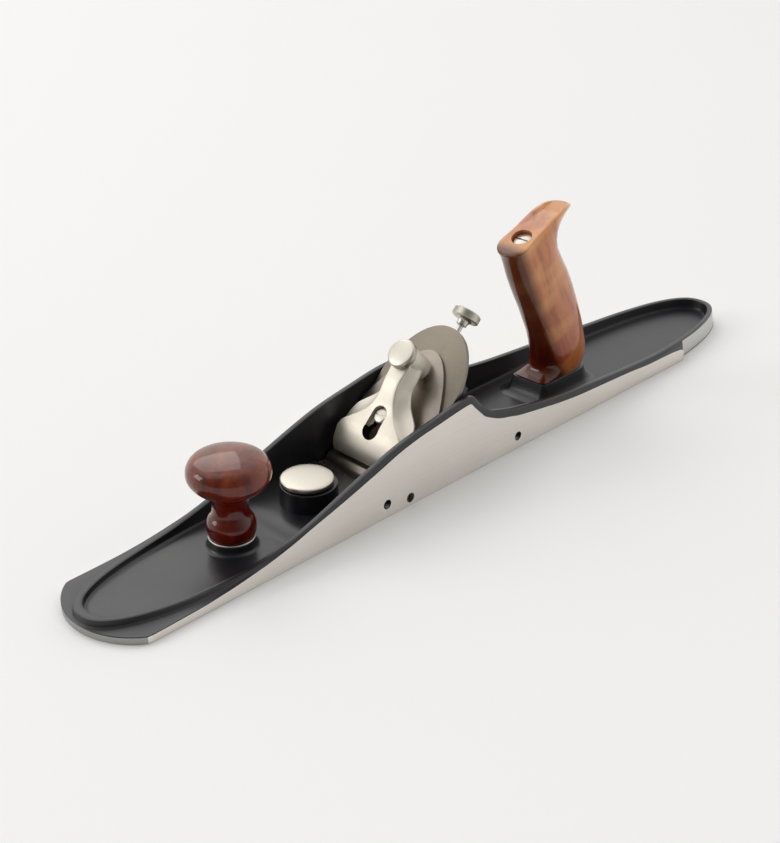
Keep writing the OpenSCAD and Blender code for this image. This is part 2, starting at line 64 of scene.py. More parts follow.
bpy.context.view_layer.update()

Point2 = tuple[float, float]
Colour = tuple[float, float, float]


class Axis(Enum):
    """A direction that grinding or turning marks run round or along."""

    X = (1.0, 0.0, 0.0)
    Y = (0.0, 1.0, 0.0)
    Z = (0.0, 0.0, 1.0)


class Slot(Enum):
    """The record's material slots, handed along with the new pieces but not used."""

    CASTING = "casting"
    TOE = "toe_iron"
    FROG = "frog"
    WOOD = "wood"
    NICKEL = "nickel"
    STEEL = "steel"
    BLADE = "blade_steel"
    BREAKER = "breaker_steel"


class Skin(IntEnum):
    """The casting's material numbers."""

    ENAMEL = 0
    GROUND = 1
    HEEL = 2
    # TOE_EDGE is a darker copy of the ground iron on the toe end's faces that face the toe: painted
    # shade.
    TOE_EDGE = 3


# ---------------------------------------------------------------- curves and lookups


def clamp(value: float, low: float = 0.0, high: float = 1.0) -> float:
    """Holds value between low and high."""
    return max(low, min(high, value))


def smooth_step(low: float, high: float, value: float) -> float:
    """Eases from 0 at low to 1 at high."""
    t = clamp((value - low) / (high - low))
    return t * t * (3.0 - 2.0 * t)


def lookup(table: Sequence[Point2], x: float) -> float:
    """Reads a smooth curve through a short table.

    Args:
        table: Points in rising order of x.
        x: Where to read it.

    Returns:
        The monotone cubic through the points at x, flat beyond both ends.
    """
    if x <= table[0][0]:
        return table[0][1]
    if x >= table[-1][0]:
        return table[-1][1]
    k = next(i for i in range(1, len(table)) if x <= table[i][0])
    slopes = [(b[1] - a[1]) / (b[0] - a[0]) for a, b in zip(table, table[1:])]

    def tangent(i: int) -> float:
        if i == 0:
            return slopes[0]
        if i == len(table) - 1:
            return slopes[-1]
        a, b = slopes[i - 1], slopes[i]
        return 0.0 if a * b <= 0 else 2.0 * a * b / (a + b)

    (x0, y0), (x1, y1) = table[k - 1], table[k]
    h = x1 - x0
    t = (x - x0) / h
    m0, m1 = tangent(k - 1) * h, tangent(k) * h
    return ((2 * t**3 - 3 * t**2 + 1) * y0 + (t**3 - 2 * t**2 + t) * m0
            + (-2 * t**3 + 3 * t**2) * y1 + (t**3 - t**2) * m1)


def bezier(p0: Point2, p1: Point2, p2: Point2, count: int) -> list[Point2]:
    """Points on a quadratic curve from p0 to p2, steered by p1, both ends included."""
    out = []
    for i in range(count + 1):
        t = i / count
        a, b, c = (1 - t) ** 2, 2 * t * (1 - t), t * t
        out.append((a * p0[0] + b * p1[0] + c * p2[0], a * p0[1] + b * p1[1] + c * p2[1]))
    return out


def chain(*runs: Iterable[Point2]) -> list[Point2]:
    """Joins runs of points into one, without the repeated ones."""
    out: list[Point2] = []
    for run in runs:
        for point in run:
            if not out or math.dist(out[-1], point) > 1e-4:
                out.append(tuple(point))
    return out


# ---------------------------------------------------------------- shared shader groups


@dataclass(frozen=True)
class GroupMaker:
    """Builds one shader node group, once."""

    name: str
    inputs: tuple[tuple[str, str, object], ...]
    outputs: tuple[tuple[str, str], ...]
    wire: Callable[[bpy.types.NodeTree, bpy.types.Node, bpy.types.Node], None]

    def tree(self) -> bpy.types.NodeTree:
        """Returns the group's node tree, built at the first call."""
        found = bpy.data.node_groups.get(self.name)
        if found:
            return found
        tree = bpy.data.node_groups.new(self.name, "ShaderNodeTree")
        for name, kind, default in self.inputs:
            socket = tree.interface.new_socket(name=name, in_out="INPUT", socket_type=kind)
            if default is not None:
                socket.default_value = default
        for name, kind in self.outputs:
            tree.interface.new_socket(name=name, in_out="OUTPUT", socket_type=kind)
        self.wire(tree, tree.nodes.new("NodeGroupInput"), tree.nodes.new("NodeGroupOutput"))
        return tree


def add(tree: bpy.types.NodeTree, kind: str, **values: object) -> bpy.types.Node:
    """Adds a node, setting its properties and then its inputs.

    Args:
        tree: Where it goes.
        kind: Its type name.
        values: Properties by their names, and inputs by name with in_ before them
            (a second underscore stands for a space).

    Returns:
        The node.
    """
    node = tree.nodes.new(kind)
    for key, value in values.items():
        if not key.startswith("in_"):
            setattr(node, key, value)
    for key, value in values.items():
        if key.startswith("in_"):
            label = key[3:]
            spot = int(label) if label.isdigit() else label.replace("_", " ")
            if isinstance(value, bpy.types.NodeSocket):
                tree.links.new(value, node.inputs[spot])
            else:
                node.inputs[spot].default_value = value
    return node


def maths(tree: bpy.types.NodeTree, how: str, a: object, b: object = 0.0) -> bpy.types.NodeSocket:
    """Adds a Math node and returns its output."""
    return add(tree, "ShaderNodeMath", operation=how, in_0=a, in_1=b).outputs[0]


def blend(tree: bpy.types.NodeTree, mask: object, a: object, b: object) -> bpy.types.NodeSocket:
    """Mixes colour a towards colour b by mask and returns the result."""
    node = add(tree, "ShaderNodeMix", data_type="RGBA")
    for index, value in ((0, mask), (6, a), (7, b)):
        if isinstance(value, bpy.types.NodeSocket):
            tree.links.new(value, node.inputs[index])
        else:
            node.inputs[index].default_value = value
    return node.outputs[2]


def ramp(tree: bpy.types.NodeTree, value: bpy.types.NodeSocket,
         stops: Sequence[tuple[float, Colour]]) -> bpy.types.NodeSocket:
    """Maps a value through colour stops and returns the colour."""
    node = add(tree, "ShaderNodeValToRGB", in_0=value)
    elements = node.color_ramp.elements
    while len(elements) < len(stops):
        elements.new(0.5)
    for element, (at, colour) in zip(elements, stops):
        element.position = at
        element.color = (*colour, 1.0)
    return node.outputs[0]


def _wire_drift(tree: bpy.types.NodeTree, inn: bpy.types.Node, out: bpy.types.Node) -> None:
    """Slow, cloudy unevenness of a colour and a roughness."""
    cloud = add(tree, "ShaderNodeTexNoise", in_Vector=inn.outputs["Vector"],
                in_Scale=inn.outputs["Scale"], in_Detail=4.0, in_Roughness=0.55)
    centred = maths(tree, "SUBTRACT", cloud.outputs["Fac"], 0.5)
    shade = maths(tree, "MULTIPLY_ADD", centred, inn.outputs["Amount"])
    shade.node.inputs[2].default_value = 1.0
    tinted = add(tree, "ShaderNodeVectorMath", operation="SCALE",
                 in_0=inn.outputs["Colour"], in_Scale=shade)
    rough = maths(tree, "MULTIPLY_ADD", centred, inn.outputs["Rough Drift"])
    tree.links.new(inn.outputs["Roughness"], rough.node.inputs[2])
    tree.links.new(tinted.outputs[0], out.inputs["Colour"])
    tree.links.new(rough, out.inputs["Roughness"])


def _wire_ground(tree: bpy.types.NodeTree, inn: bpy.types.Node, out: bpy.types.Node) -> None:
    """Fine parallel scratches: a noise drawn out along one direction."""
    stretch = add(tree, "ShaderNodeVectorMath", operation="MULTIPLY",
                  in_0=inn.outputs["Vector"], in_1=inn.outputs["Stretch"])
    lines = add(tree, "ShaderNodeTexNoise", in_Vector=stretch.outputs[0],
                in_Scale=1.0, in_Detail=3.0, in_Roughness=0.6)
    tree.links.new(lines.outputs["Fac"], out.inputs["Height"])
    mask = add(tree, "ShaderNodeMapRange", in_0=lines.outputs["Fac"], in_1=0.35, in_2=0.65)
    tree.links.new(mask.outputs[0], out.inputs["Mask"])


def _wire_skin(tree: bpy.types.NodeTree, inn: bpy.types.Node, out: bpy.types.Node) -> None:
    """The fine orange-peel skin of enamel over sand-cast iron."""
    fine = add(tree, "ShaderNodeTexNoise", in_Vector=inn.outputs["Vector"],
               in_Scale=inn.outputs["Scale"], in_Detail=3.0, in_Roughness=0.5)
    pits = add(tree, "ShaderNodeTexVoronoi", in_Vector=inn.outputs["Vector"],
               in_Scale=inn.outputs["Scale"])
    pit = add(tree, "ShaderNodeMapRange", in_0=pits.outputs["Distance"], in_1=0.0, in_2=0.35)
    both = maths(tree, "MULTIPLY_ADD", pit.outputs[0], 0.25)
    tree.links.new(fine.outputs["Fac"], both.node.inputs[2])
    tree.links.new(both, out.inputs["Height"])
    speck = add(tree, "ShaderNodeMapRange", in_0=fine.outputs["Fac"], in_1=0.62, in_2=0.8)
    tree.links.new(speck.outputs[0], out.inputs["Speck"])


def _wire_grain(tree: bpy.types.NodeTree, inn: bpy.types.Node, out: bpy.types.Node) -> None:
    """Wood: rings round a distant heart, drawn-out streaks, fine pores, golden patches."""
    warp = add(tree, "ShaderNodeTexNoise", in_Vector=inn.outputs["Vector"], in_Scale=22.0,
               in_Detail=2.0)
    push = add(tree, "ShaderNodeVectorMath", operation="SCALE", in_0=warp.outputs["Color"],
               in_Scale=inn.outputs["Warp"])
    moved = add(tree, "ShaderNodeVectorMath", operation="ADD", in_0=inn.outputs["Vector"],
                in_1=push.outputs[0])
    rings = add(tree, "ShaderNodeTexWave", wave_type="RINGS", rings_direction="Z",
                wave_profile="SIN", in_Vector=moved.outputs[0],
                in_Scale=inn.outputs["Rings"], in_Distortion=1.5, in_Detail=2.0,
                in_Detail_Scale=1.2)
    drawn = add(tree, "ShaderNodeVectorMath", operation="MULTIPLY", in_0=moved.outputs[0],
                in_1=(1.0, 1.0, 0.09))
    streaks = add(tree, "ShaderNodeTexNoise", in_Vector=drawn.outputs[0], in_Scale=160.0,
                  in_Detail=4.0, in_Roughness=0.6)
    pores = add(tree, "ShaderNodeTexNoise", in_Vector=drawn.outputs[0], in_Scale=1300.0,
                in_Detail=2.0)
    mixed = maths(tree, "MULTIPLY_ADD", streaks.outputs["Fac"], 0.5)
    half = maths(tree, "MULTIPLY", rings.outputs["Fac"], 0.1)
    tree.links.new(half, mixed.node.inputs[2])
    tree.links.new(mixed, out.inputs["Figure"])
    dark = add(tree, "ShaderNodeMapRange", in_0=pores.outputs["Fac"], in_1=0.55, in_2=0.72)
    tree.links.new(dark.outputs[0], out.inputs["Pores"])
    banded = add(tree, "ShaderNodeVectorMath", operation="MULTIPLY", in_0=moved.outputs[0],
                 in_1=(0.55, 0.55, 1.3))
    patch = add(tree, "ShaderNodeTexNoise", in_Vector=banded.outputs[0], in_Scale=46.0,
                in_Detail=1.0, in_Roughness=0.4)
    gold = add(tree, "ShaderNodeMapRange", in_0=patch.outputs["Fac"], in_1=0.48, in_2=0.64)
    tree.links.new(gold.outputs[0], out.inputs["Glow"])


VECTOR, NUMBER, PAINT = "NodeSocketVector", "NodeSocketFloat", "NodeSocketColor"
DRIFT = GroupMaker(
    "surface_drift",
    (("Vector", VECTOR, None), ("Scale", NUMBER, 20.0), ("Colour", PAINT, None),
     ("Amount", NUMBER, 0.2), ("Roughness", NUMBER, 0.4), ("Rough Drift", NUMBER, 0.1)),
    (("Colour", PAINT), ("Roughness", NUMBER)), _wire_drift)
GROUND = GroupMaker(
    "ground_lines", (("Vector", VECTOR, None), ("Stretch", VECTOR, None)),
    (("Height", NUMBER), ("Mask", NUMBER)), _wire_ground)
SKIN = GroupMaker(
    "cast_skin", (("Vector", VECTOR, None), ("Scale", NUMBER, 900.0)),
    (("Height", NUMBER), ("Speck", NUMBER)), _wire_skin)
GRAIN = GroupMaker(
    "wood_grain", (("Vector", VECTOR, None), ("Rings", NUMBER, 20.0), ("Warp", NUMBER, 0.01)),
    (("Figure", NUMBER), ("Pores", NUMBER), ("Glow", NUMBER)), _wire_grain)


def group(tree: bpy.types.NodeTree, maker: GroupMaker, **values: object) -> bpy.types.Node:
    """Places a shared group in a material's tree, with its own values."""
    node = tree.nodes.new("ShaderNodeGroup")
    node.node_tree = maker.tree()
    for key, value in values.items():
        spot = node.inputs[key.replace("_", " ")]
        if isinstance(value, bpy.types.NodeSocket):
            tree.links.new(value, spot)
        else:
            spot.default_value = value
    return node


# ---------------------------------------------------------------- finishes


@dataclass(frozen=True)
class Finish:
    """What every finish has: a name and the making of an empty material."""

    name: str

    def start(self) -> tuple[bpy.types.Material, bpy.types.NodeTree, bpy.types.Node,
                             bpy.types.NodeSocket]:
        """Makes the material.

        Returns:
            The material, its tree, its Principled shader and the Object coordinates.
        """
        material = bpy.data.materials.new(self.name)
        material.use_nodes = True
        tree = material.node_tree
        shader = next(n for n in tree.nodes if n.type == "BSDF_PRINCIPLED")
        return material, tree, shader, add(tree, "ShaderNodeTexCoord").outputs["Object"]

    def material(self) -> bpy.types.Material:
        """Returns this finish's material, built at the first call."""
        return bpy.data.materials.get(self.name) or self.build()

    def build(self) -> bpy.types.Material:
        """Builds the material. Each finish has its own."""
        raise NotImplementedError

    @staticmethod
    def bump(tree: bpy.types.NodeTree, shader: bpy.types.Node, height: bpy.types.NodeSocket,
             depth: float, strength: float = 1.0) -> None:
        """Feeds a height into the shader's normal; depth is in metres."""
        node = add(tree, "ShaderNodeBump", in_Strength=strength, in_Distance=depth,
                   in_Height=height)
        tree.links.new(node.outputs[0], shader.inputs["Normal"])


@dataclass(frozen=True)
class Enamel(Finish):
    """Semi-gloss black enamel over a sand casting."""

    colour: Colour = (0.011, 0.0105, 0.0135)
    roughness: float = 0.34
    skin_scale: float = 900.0
    skin_depth: float = 0.00007
    coat: float = 0.12

    def build(self) -> bpy.types.Material:
        """Builds the enamel with its skin, dust specks and uneven gloss."""
        material, tree, shader, where = self.start()
        skin = group(tree, SKIN, Vector=where, Scale=self.skin_scale)
        drift = group(tree, DRIFT, Vector=where, Scale=16.0, Colour=(*self.colour, 1.0),
                      Amount=0.5, Roughness=self.roughness, Rough_Drift=0.16)
        speckled = blend(tree, maths(tree, "MULTIPLY", skin.outputs["Speck"], 0.35),
                         drift.outputs["Colour"], (0.04, 0.04, 0.045, 1.0))
        tree.links.new(speckled, shader.inputs["Base Color"])
        tree.links.new(drift.outputs["Roughness"], shader.inputs["Roughness"])
        shader.inputs["Coat Weight"].default_value = self.coat
        shader.inputs["Coat Roughness"].default_value = 0.28
        self.bump(tree, shader, skin.outputs["Height"], self.skin_depth)
        return material


@dataclass(frozen=True)
class Metal(Finish):
    """A bare or plated metal with fine lines left by grinding, lapping or turning."""

    colour: Colour = (0.62, 0.60, 0.57)
    roughness: float = 0.3
    drift: float = 0.12
    stretch: Colour = (60.0, 2500.0, 2500.0)
    line_depth: float = 0.000004
    metallic: float = 1.0
    tilt: float = 0.0

    def build(self) -> bpy.types.Material:
        """Builds the metal with its lines and slow changes of tone."""
        material, tree, shader, where = self.start()
        if self.tilt:
            turned = add(tree, "ShaderNodeMapping", in_Vector=where)
            turned.inputs["Rotation"].default_value = (0.0, self.tilt, 0.0)
            where = turned.outputs[0]
        lines = group(tree, GROUND, Vector=where, Stretch=self.stretch)
        drift = group(tree, DRIFT, Vector=where, Scale=24.0, Colour=(*self.colour, 1.0),
                      Amount=self.drift, Roughness=self.roughness, Rough_Drift=0.12)
        darker = tuple(0.86 * c for c in self.colour) + (1.0,)
        toned = blend(tree, maths(tree, "MULTIPLY", lines.outputs["Mask"], 0.35),
                      drift.outputs["Colour"], darker)
        tree.links.new(toned, shader.inputs["Base Color"])
        rough = maths(tree, "MULTIPLY_ADD", lines.outputs["Mask"], 0.06)
        tree.links.new(drift.outputs["Roughness"], rough.node.inputs[2])
        tree.links.new(rough, shader.inputs["Roughness"])
        shader.inputs["Metallic"].default_value = self.metallic
        self.bump(tree, shader, lines.outputs["Height"], self.line_depth)
        return material


@dataclass(frozen=True)
class Lacquer(Finish):
    """Reddish hardwood under a gloss lacquer."""

    dark: Colour = (0.13, 0.032, 0.013)
    middle: Colour = (0.26, 0.074, 0.027)
    light: Colour = (0.37, 0.125, 0.046)
    gold: Colour = (0.47, 0.215, 0.085)
    glow: float = 0.5
    heart: Colour = (0.05, 0.03, 0.0)
    lean: float = 0.0
    rings: float = 28.0
    # painted_nose_shade is painted shade on the handle's front nose: where it is deepest, where it
    # ends, and the share of colour left.
    painted_nose_shade: Colour | None = None
    foot: Colour | None = None

    def build(self) -> bpy.types.Material:
        """Builds the wood: rings and streaks below, a smooth coat above."""
        material, tree, shader, where = self.start()
        placed = add(tree, "ShaderNodeMapping", in_Vector=where)
        placed.inputs["Location"].default_value = self.heart
        placed.inputs["Rotation"].default_value = (0.0, self.lean, 0.0)
        grain = group(tree, GRAIN, Vector=placed.outputs[0], Rings=self.rings, Warp=0.012)
        figure = ramp(tree, grain.outputs["Figure"],
                      ((0.18, self.dark), (0.30, self.middle), (0.44, self.light)))
        glowing = blend(tree, maths(tree, "MULTIPLY", grain.outputs["Glow"], self.glow), figure,
                        (*self.gold, 1.0))
        shade = blend(tree, maths(tree, "MULTIPLY", grain.outputs["Pores"], 0.35), glowing,
                      (*self.dark, 1.0))
        # Painted shade: the handle's front nose, which faces away from the light, is darkened in
        # its colour.
        if self.painted_nose_shade:
            leaning = add(tree, "ShaderNodeMapping", in_Vector=where)
            leaning.inputs["Rotation"].default_value = (0.0, self.lean, 0.0)
            shade = self.fade(tree, leaning.outputs[0], "X", self.painted_nose_shade, shade)
        if self.foot:
            shade = self.fade(tree, where, "Z", self.foot, shade)
        tree.links.new(shade, shader.inputs["Base Color"])
        rough = maths(tree, "MULTIPLY_ADD", grain.outputs["Pores"], 0.1)
        rough.node.inputs[2].default_value = 0.34
        tree.links.new(rough, shader.inputs["Roughness"])
        shader.inputs["Coat Weight"].default_value = 1.0
        shader.inputs["Coat IOR"].default_value = 1.42
        shader.inputs["Coat Roughness"].default_value = 0.05
        shader.inputs["Specular IOR Level"].default_value = 0.1
        self.bump(tree, shader, grain.outputs["Figure"], 0.00002)
        return material

    @staticmethod
    def fade(tree: bpy.types.NodeTree, where: bpy.types.NodeSocket, axis: str, reach: Colour,
             above: bpy.types.NodeSocket) -> bpy.types.NodeSocket:
        """Deepens a colour below a place along an axis.

        Args:
            tree: The material's tree.
            where: The coordinates the axis belongs to.
            axis: X, Y or Z.
            reach: Where it is deepest, where it ends, and the share of colour left.
            above: The colour to deepen.

        Returns:
            The shaded colour.
        """
        parts = add(tree, "ShaderNodeSeparateXYZ", in_Vector=where)
        depth = add(tree, "ShaderNodeMapRange", in_0=parts.outputs[axis], in_1=reach[0],
                    in_2=reach[1], in_3=1.0, in_4=0.0)
        deep = add(tree, "ShaderNodeHueSaturation", in_Hue=0.484, in_Saturation=1.1,
                   in_Value=reach[2], in_Color=above)
        return blend(tree, depth.outputs[0], above, deep.outputs[0])


@dataclass(frozen=True)
class Paper(Finish):
    """The pale sweep the plane stands on."""

    colour: Colour = (0.93, 0.93, 0.925)

    def build(self) -> bpy.types.Material:
        """Builds the matt floor with a barely uneven tone."""
        material, tree, shader, where = self.start()
        drift = group(tree, DRIFT, Vector=where, Scale=1.5, Colour=(*self.colour, 1.0),
                      Amount=0.01, Roughness=0.85, Rough_Drift=0.05)
        tree.links.new(drift.outputs["Colour"], shader.inputs["Base Color"])
        tree.links.new(drift.outputs["Roughness"], shader.inputs["Roughness"])
        shader.inputs["Specular IOR Level"].default_value = 0.25
        return material


TAU = 2.0 * math.pi
BED_TILT = math.radians(45.0)
ENAMEL = Enamel("black_enamel")
FROG_ENAMEL = Enamel("frog_enamel", roughness=0.42, skin_scale=700.0)
GROUND_IRON = Metal("ground_iron", colour=(0.83, 0.785, 0.735), roughness=0.38,
                    stretch=(25.0, 1800.0, 2600.0))
TOE_IRON = Metal("lapped_toe_iron", colour=(0.58, 0.57, 0.55), roughness=0.32,
                 stretch=(30.0, 2200.0, 2200.0))
NICKEL = Metal("satin_nickel", colour=(0.80, 0.745, 0.645), roughness=0.46, drift=0.08,
               metallic=0.8,
               stretch=(420.0, 2600.0, 420.0), line_depth=0.000003, tilt=BED_TILT)
TURNED_NICKEL = Metal("turned_nickel", colour=(0.61, 0.575, 0.505), roughness=0.34, drift=0.08,
                      stretch=(1400.0, 1400.0, 1400.0), line_depth=0.000002)
STEEL = Metal("turned_steel", colour=(0.62, 0.61, 0.59), roughness=0.3,
              stretch=(1500.0, 1500.0, 1500.0))
BLADE_STEEL = Metal("ground_blade_steel", colour=(0.25, 0.22, 0.178), roughness=0.4,
                    stretch=(2400.0, 60.0, 2400.0), tilt=BED_TILT)
BREAKER_STEEL = Metal("lapped_breaker_steel", colour=(0.33, 0.29, 0.25), roughness=0.36,
                      stretch=(2200.0, 90.0, 2200.0), tilt=BED_TILT)
BRASS = Metal("turned_brass", colour=(0.72, 0.53, 0.22), roughness=0.28,
              stretch=(1400.0, 1400.0, 900.0))
KNOB_WOOD = Lacquer("knob_wood", heart=(0.155, 0.02, 0.0), rings=16.0, glow=0.1,
                    dark=(0.075, 0.010, 0.003), middle=(0.16, 0.025, 0.007),
                    light=(0.25, 0.052, 0.014), foot=(0.044, 0.062, 0.6))
# The handle carries painted shade on its front nose, and its colour is darker towards its bottom.
TOTE_WOOD = Lacquer("handle_wood", heart=(-0.02, 0.03, 0.0), lean=0.43, rings=13.0, glow=0.6,
                    dark=(0.40, 0.125, 0.045), middle=(0.58, 0.21, 0.085),
                    light=(0.68, 0.275, 0.12), gold=(0.80, 0.40, 0.15),
                    painted_nose_shade=(0.0965, 0.1025, 0.2), foot=(0.030, 0.085, 0.66))
HEEL_IRON = Metal("linished_heel_iron", colour=(0.62, 0.61, 0.595), roughness=0.46,
                  stretch=(700.0, 700.0, 700.0))
# A darker ground iron for the toe end's faces that face the toe: painted shade, not a different
# finish.
TOE_EDGE_SHADE_IRON = Metal("toe_edge_painted_shade", colour=(0.40, 0.39, 0.38), roughness=0.46,
                  stretch=(900.0, 900.0, 900.0))
# Black steel for the side set screws; on the walls of the lever cap's keyhole and slot it is
# painted shade.
BLACKENED_STEEL_AND_HOLE_SHADE = Metal("blackened_steel_and_hole_shade", colour=(0.05, 0.05, 0.05), roughness=0.38,
                    stretch=(1500.0, 1500.0, 1500.0))
PAPER = Paper("pale_paper")


# ---------------------------------------------------------------- mesh helpers


def bed_matrix(mouth_x: float) -> Matrix:
    """The bed frame's place: X becomes w and Z becomes h.

    Args:
        mouth_x: Where the bed's plane meets the sole, in metres.

    Returns:
        The matrix from bed coordinates to the row frame.
    """
    return Matrix.Translation((mouth_x, 0.0, 0.0)) @ Matrix.Rotation(-BED_TILT, 4, "Y")


def closed(bm: bmesh.types.BMesh) -> bmesh.types.BMesh:
    """Welds what meets, fills open ends, turns the faces outward and returns the mesh."""
    bmesh.ops.remove_doubles(bm, verts=bm.verts, dist=WELD)
    open_edges = [e for e in bm.edges if e.is_boundary]
    if open_edges:
        bmesh.ops.holes_fill(bm, edges=open_edges, sides=0)
    bmesh.ops.recalc_face_normals(bm, faces=bm.faces)
    return bm


def spun(profile: Sequence[Point2], steps: int = 96) -> bmesh.types.BMesh:
    """Turns a profile once round the Z axis.

    Args:
        profile: Radius and height of each point, in millimetres.
        steps: Steps in the full turn.

    Returns:
        A closed mesh with outward faces, in metres.
    """
    bm = bmesh.new()
    verts = [bm.verts.new((r * MM, 0.0, z * MM)) for r, z in profile]
    edges = [bm.edges.new(pair) for pair in zip(verts, verts[1:])]
    bmesh.ops.spin(bm, geom=verts + edges, cent=(0, 0, 0), axis=(0, 0, 1), dvec=(0, 0, 0),
                   angle=TAU, steps=steps, use_merge=True, use_duplicate=False)
    return closed(bm)


def warped_grid(columns: int, rows: int,
                place: Callable[[int, int], Sequence[float]]) -> bmesh.types.BMesh:
    """Lays a grid over a surface, then welds and closes it.

    Args:
        columns: Points round the surface, the last on the first where it closes.
        rows: Points across it.
        place: Gives the point of a column and row, in millimetres.

    Returns:
        A closed mesh with outward faces, in metres.
    """
    bm = bmesh.new()
    bmesh.ops.create_grid(bm, x_segments=columns - 1, y_segments=rows - 1, size=1.0)
    for vert in bm.verts:
        i = round((vert.co.x + 1.0) / 2.0 * (columns - 1))
        j = round((vert.co.y + 1.0) / 2.0 * (rows - 1))
        vert.co = Vector(place(i, j)) * MM
    return closed(bm)


def prism(outline: Sequence[Point2], low: float, high: float,
          rounding: float = 0.0) -> bmesh.types.BMesh:
    """Extrudes a plan outline from one height to another, in millimetres."""
    bm = bmesh.new()
    face = bm.faces.new([bm.verts.new((x * MM, y * MM, low * MM)) for x, y in outline])
    grown = bmesh.ops.extrude_face_region(bm, geom=[face])
    top = [v for v in grown["geom"] if isinstance(v, bmesh.types.BMVert)]
    bmesh.ops.translate(bm, verts=top, vec=(0, 0, (high - low) * MM))
    bmesh.ops.recalc_face_normals(bm, faces=bm.faces)
    if rounding:
        bevel_sharp(bm, rounding)
    return bm


def stadium(x0: float, x1: float, radius: float, steps: int = 20) -> list[Point2]:
    """The outline of a slot whose round ends are centred at x0 and x1."""
    arc = [math.pi * (0.5 + i / steps) for i in range(steps + 1)]
    left = [(x0 + radius * math.cos(a), radius * math.sin(a)) for a in arc]
    return left + [(x1 - radius * math.cos(a), -radius * math.sin(a)) for a in arc]


def bevel_sharp(bm: bmesh.types.BMesh, width: float, angle: float = 32.0,
                segments: int = 2) -> None:
    """Rounds every edge that turns by more than angle.

    Args:
        bm: The mesh, in metres.
        width: Width of the rounding, in millimetres.
        angle: The least turn between two faces, in degrees.
        segments: Steps in the rounding.
    """
    sharp = [e for e in bm.edges
             if e.is_manifold and e.calc_face_angle(0.0) > math.radians(angle)]
    bmesh.ops.bevel(bm, geom=sharp, offset=width * MM, offset_type="OFFSET",
                    affect="EDGES", segments=segments, profile=0.5, material=-1,
                    clamp_overlap=True)


def to_object(bm: bmesh.types.BMesh, name: str, finishes: Sequence[Finish],
              sharp: float = 38.0) -> bpy.types.Object:
    """Turns a mesh into an object at the origin with smooth faces and sharp creases.

    Args:
        bm: The mesh, used up by this.
        name: The object's name.
        finishes: Its finishes, by the faces' material numbers.
        sharp: Turn between faces, in degrees, above which an edge stays a crease.

    Returns:
        The object, in the scene.
    """
    for face in bm.faces:
        face.smooth = True
    for edge in bm.edges:
        edge.smooth = not (edge.is_manifold
                           and edge.calc_face_angle(0.0) > math.radians(sharp))
    mesh = bpy.data.meshes.new(name)
    bm.to_mesh(mesh)
    bm.free()
    for finish in finishes:
        mesh.materials.append(finish.material())
    obj = bpy.data.objects.new(name, mesh)
    bpy.context.scene.collection.objects.link(obj)
    return obj


def carve(obj: bpy.types.Object, tools: Sequence[bmesh.types.BMesh], how: str,
          number: int = 0, sharp: float = 38.0) -> None:
    """Joins tools to an object, or cuts them out of it, one after another.

    Args:
        obj: The object to change.
        tools: Closed meshes, used up by this.
        how: UNION or DIFFERENCE.
        number: The material number that the tools' faces bring.
        sharp: As in to_object.
    """
    for tool in tools:
        for face in tool.faces:
            face.material_index = number
            face.smooth = True
        mesh = bpy.data.meshes.new("tool")
        tool.to_mesh(mesh)
        tool.free()
        for material in obj.data.materials:
            mesh.materials.append(material)
        cutter = bpy.data.objects.new("tool", mesh)
        bpy.context.scene.collection.objects.link(cutter)
        change = obj.modifiers.new("carve", "BOOLEAN")
        change.operation = how
        change.solver = "EXACT"
        change.object = cutter
        graph = bpy.context.evaluated_depsgraph_get()
        result = bpy.data.meshes.new_from_object(obj.evaluated_get(graph))
        old = obj.data
        obj.modifiers.clear()
        obj.data = result
        bpy.data.meshes.remove(old)
        bpy.data.objects.remove(cutter)
        bpy.data.meshes.remove(mesh)
    bm = bmesh.new()
    bm.from_mesh(obj.data)
    bmesh.ops.remove_doubles(bm, verts=bm.verts, dist=2e-7)
    for edge in bm.edges:
        edge.smooth = not (edge.is_manifold
                           and edge.calc_face_angle(0.0) > math.radians(sharp))
    bm.to_mesh(obj.data)
    bm.free()


def softened(node: str, finish: Finish, body: str, slot: Slot, width: float = 0.25,
             angle: float = 32.0) -> bpy.types.Object:
    """Stands a copy of a CAD node with rounded edges in its place.

    Args:
        node: The CAD node.
        finish: What it is made of.
        body: The body it rides on.
        slot: The record's material slot; passed on to place, which does not use it.
        width: Width of the rounding, in millimetres.
        angle: The least turn that is rounded, in degrees.

    Returns:
        The new object.
    """
    bm = bmesh.new()
    bm.from_mesh(frame["nodes"][node].data)
    bmesh.ops.remove_doubles(bm, verts=bm.verts, dist=1e-6)
    bmesh.ops.dissolve_limit(bm, angle_limit=math.radians(0.6), verts=bm.verts, edges=bm.edges,
                             use_dissolve_boundaries=False)
    bmesh.ops.recalc_face_normals(bm, faces=bm.faces)
    bevel_sharp(bm, width, angle)
    for face in bm.faces:
        face.material_index = 0
    return place(to_object(bm, node + "_finished", [finish]), body, slot, node)


def place(obj: bpy.types.Object, body: str, slot: Slot, *nodes: str) -> bpy.types.Object:
    """Rides an object on a body, in place of CAD nodes."""
    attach(obj, body)
    if nodes:
        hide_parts(*nodes)
    LOG.info("%s: %d faces on %s", obj.name, len(obj.data.polygons), body)
    return obj


def middle(node: str) -> Vector:
    """The middle of a CAD node's box, in millimetres."""
    low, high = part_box(node)
    return (low + high) / 2.0 / MM


# ---------------------------------------------------------------- sub-assemblies


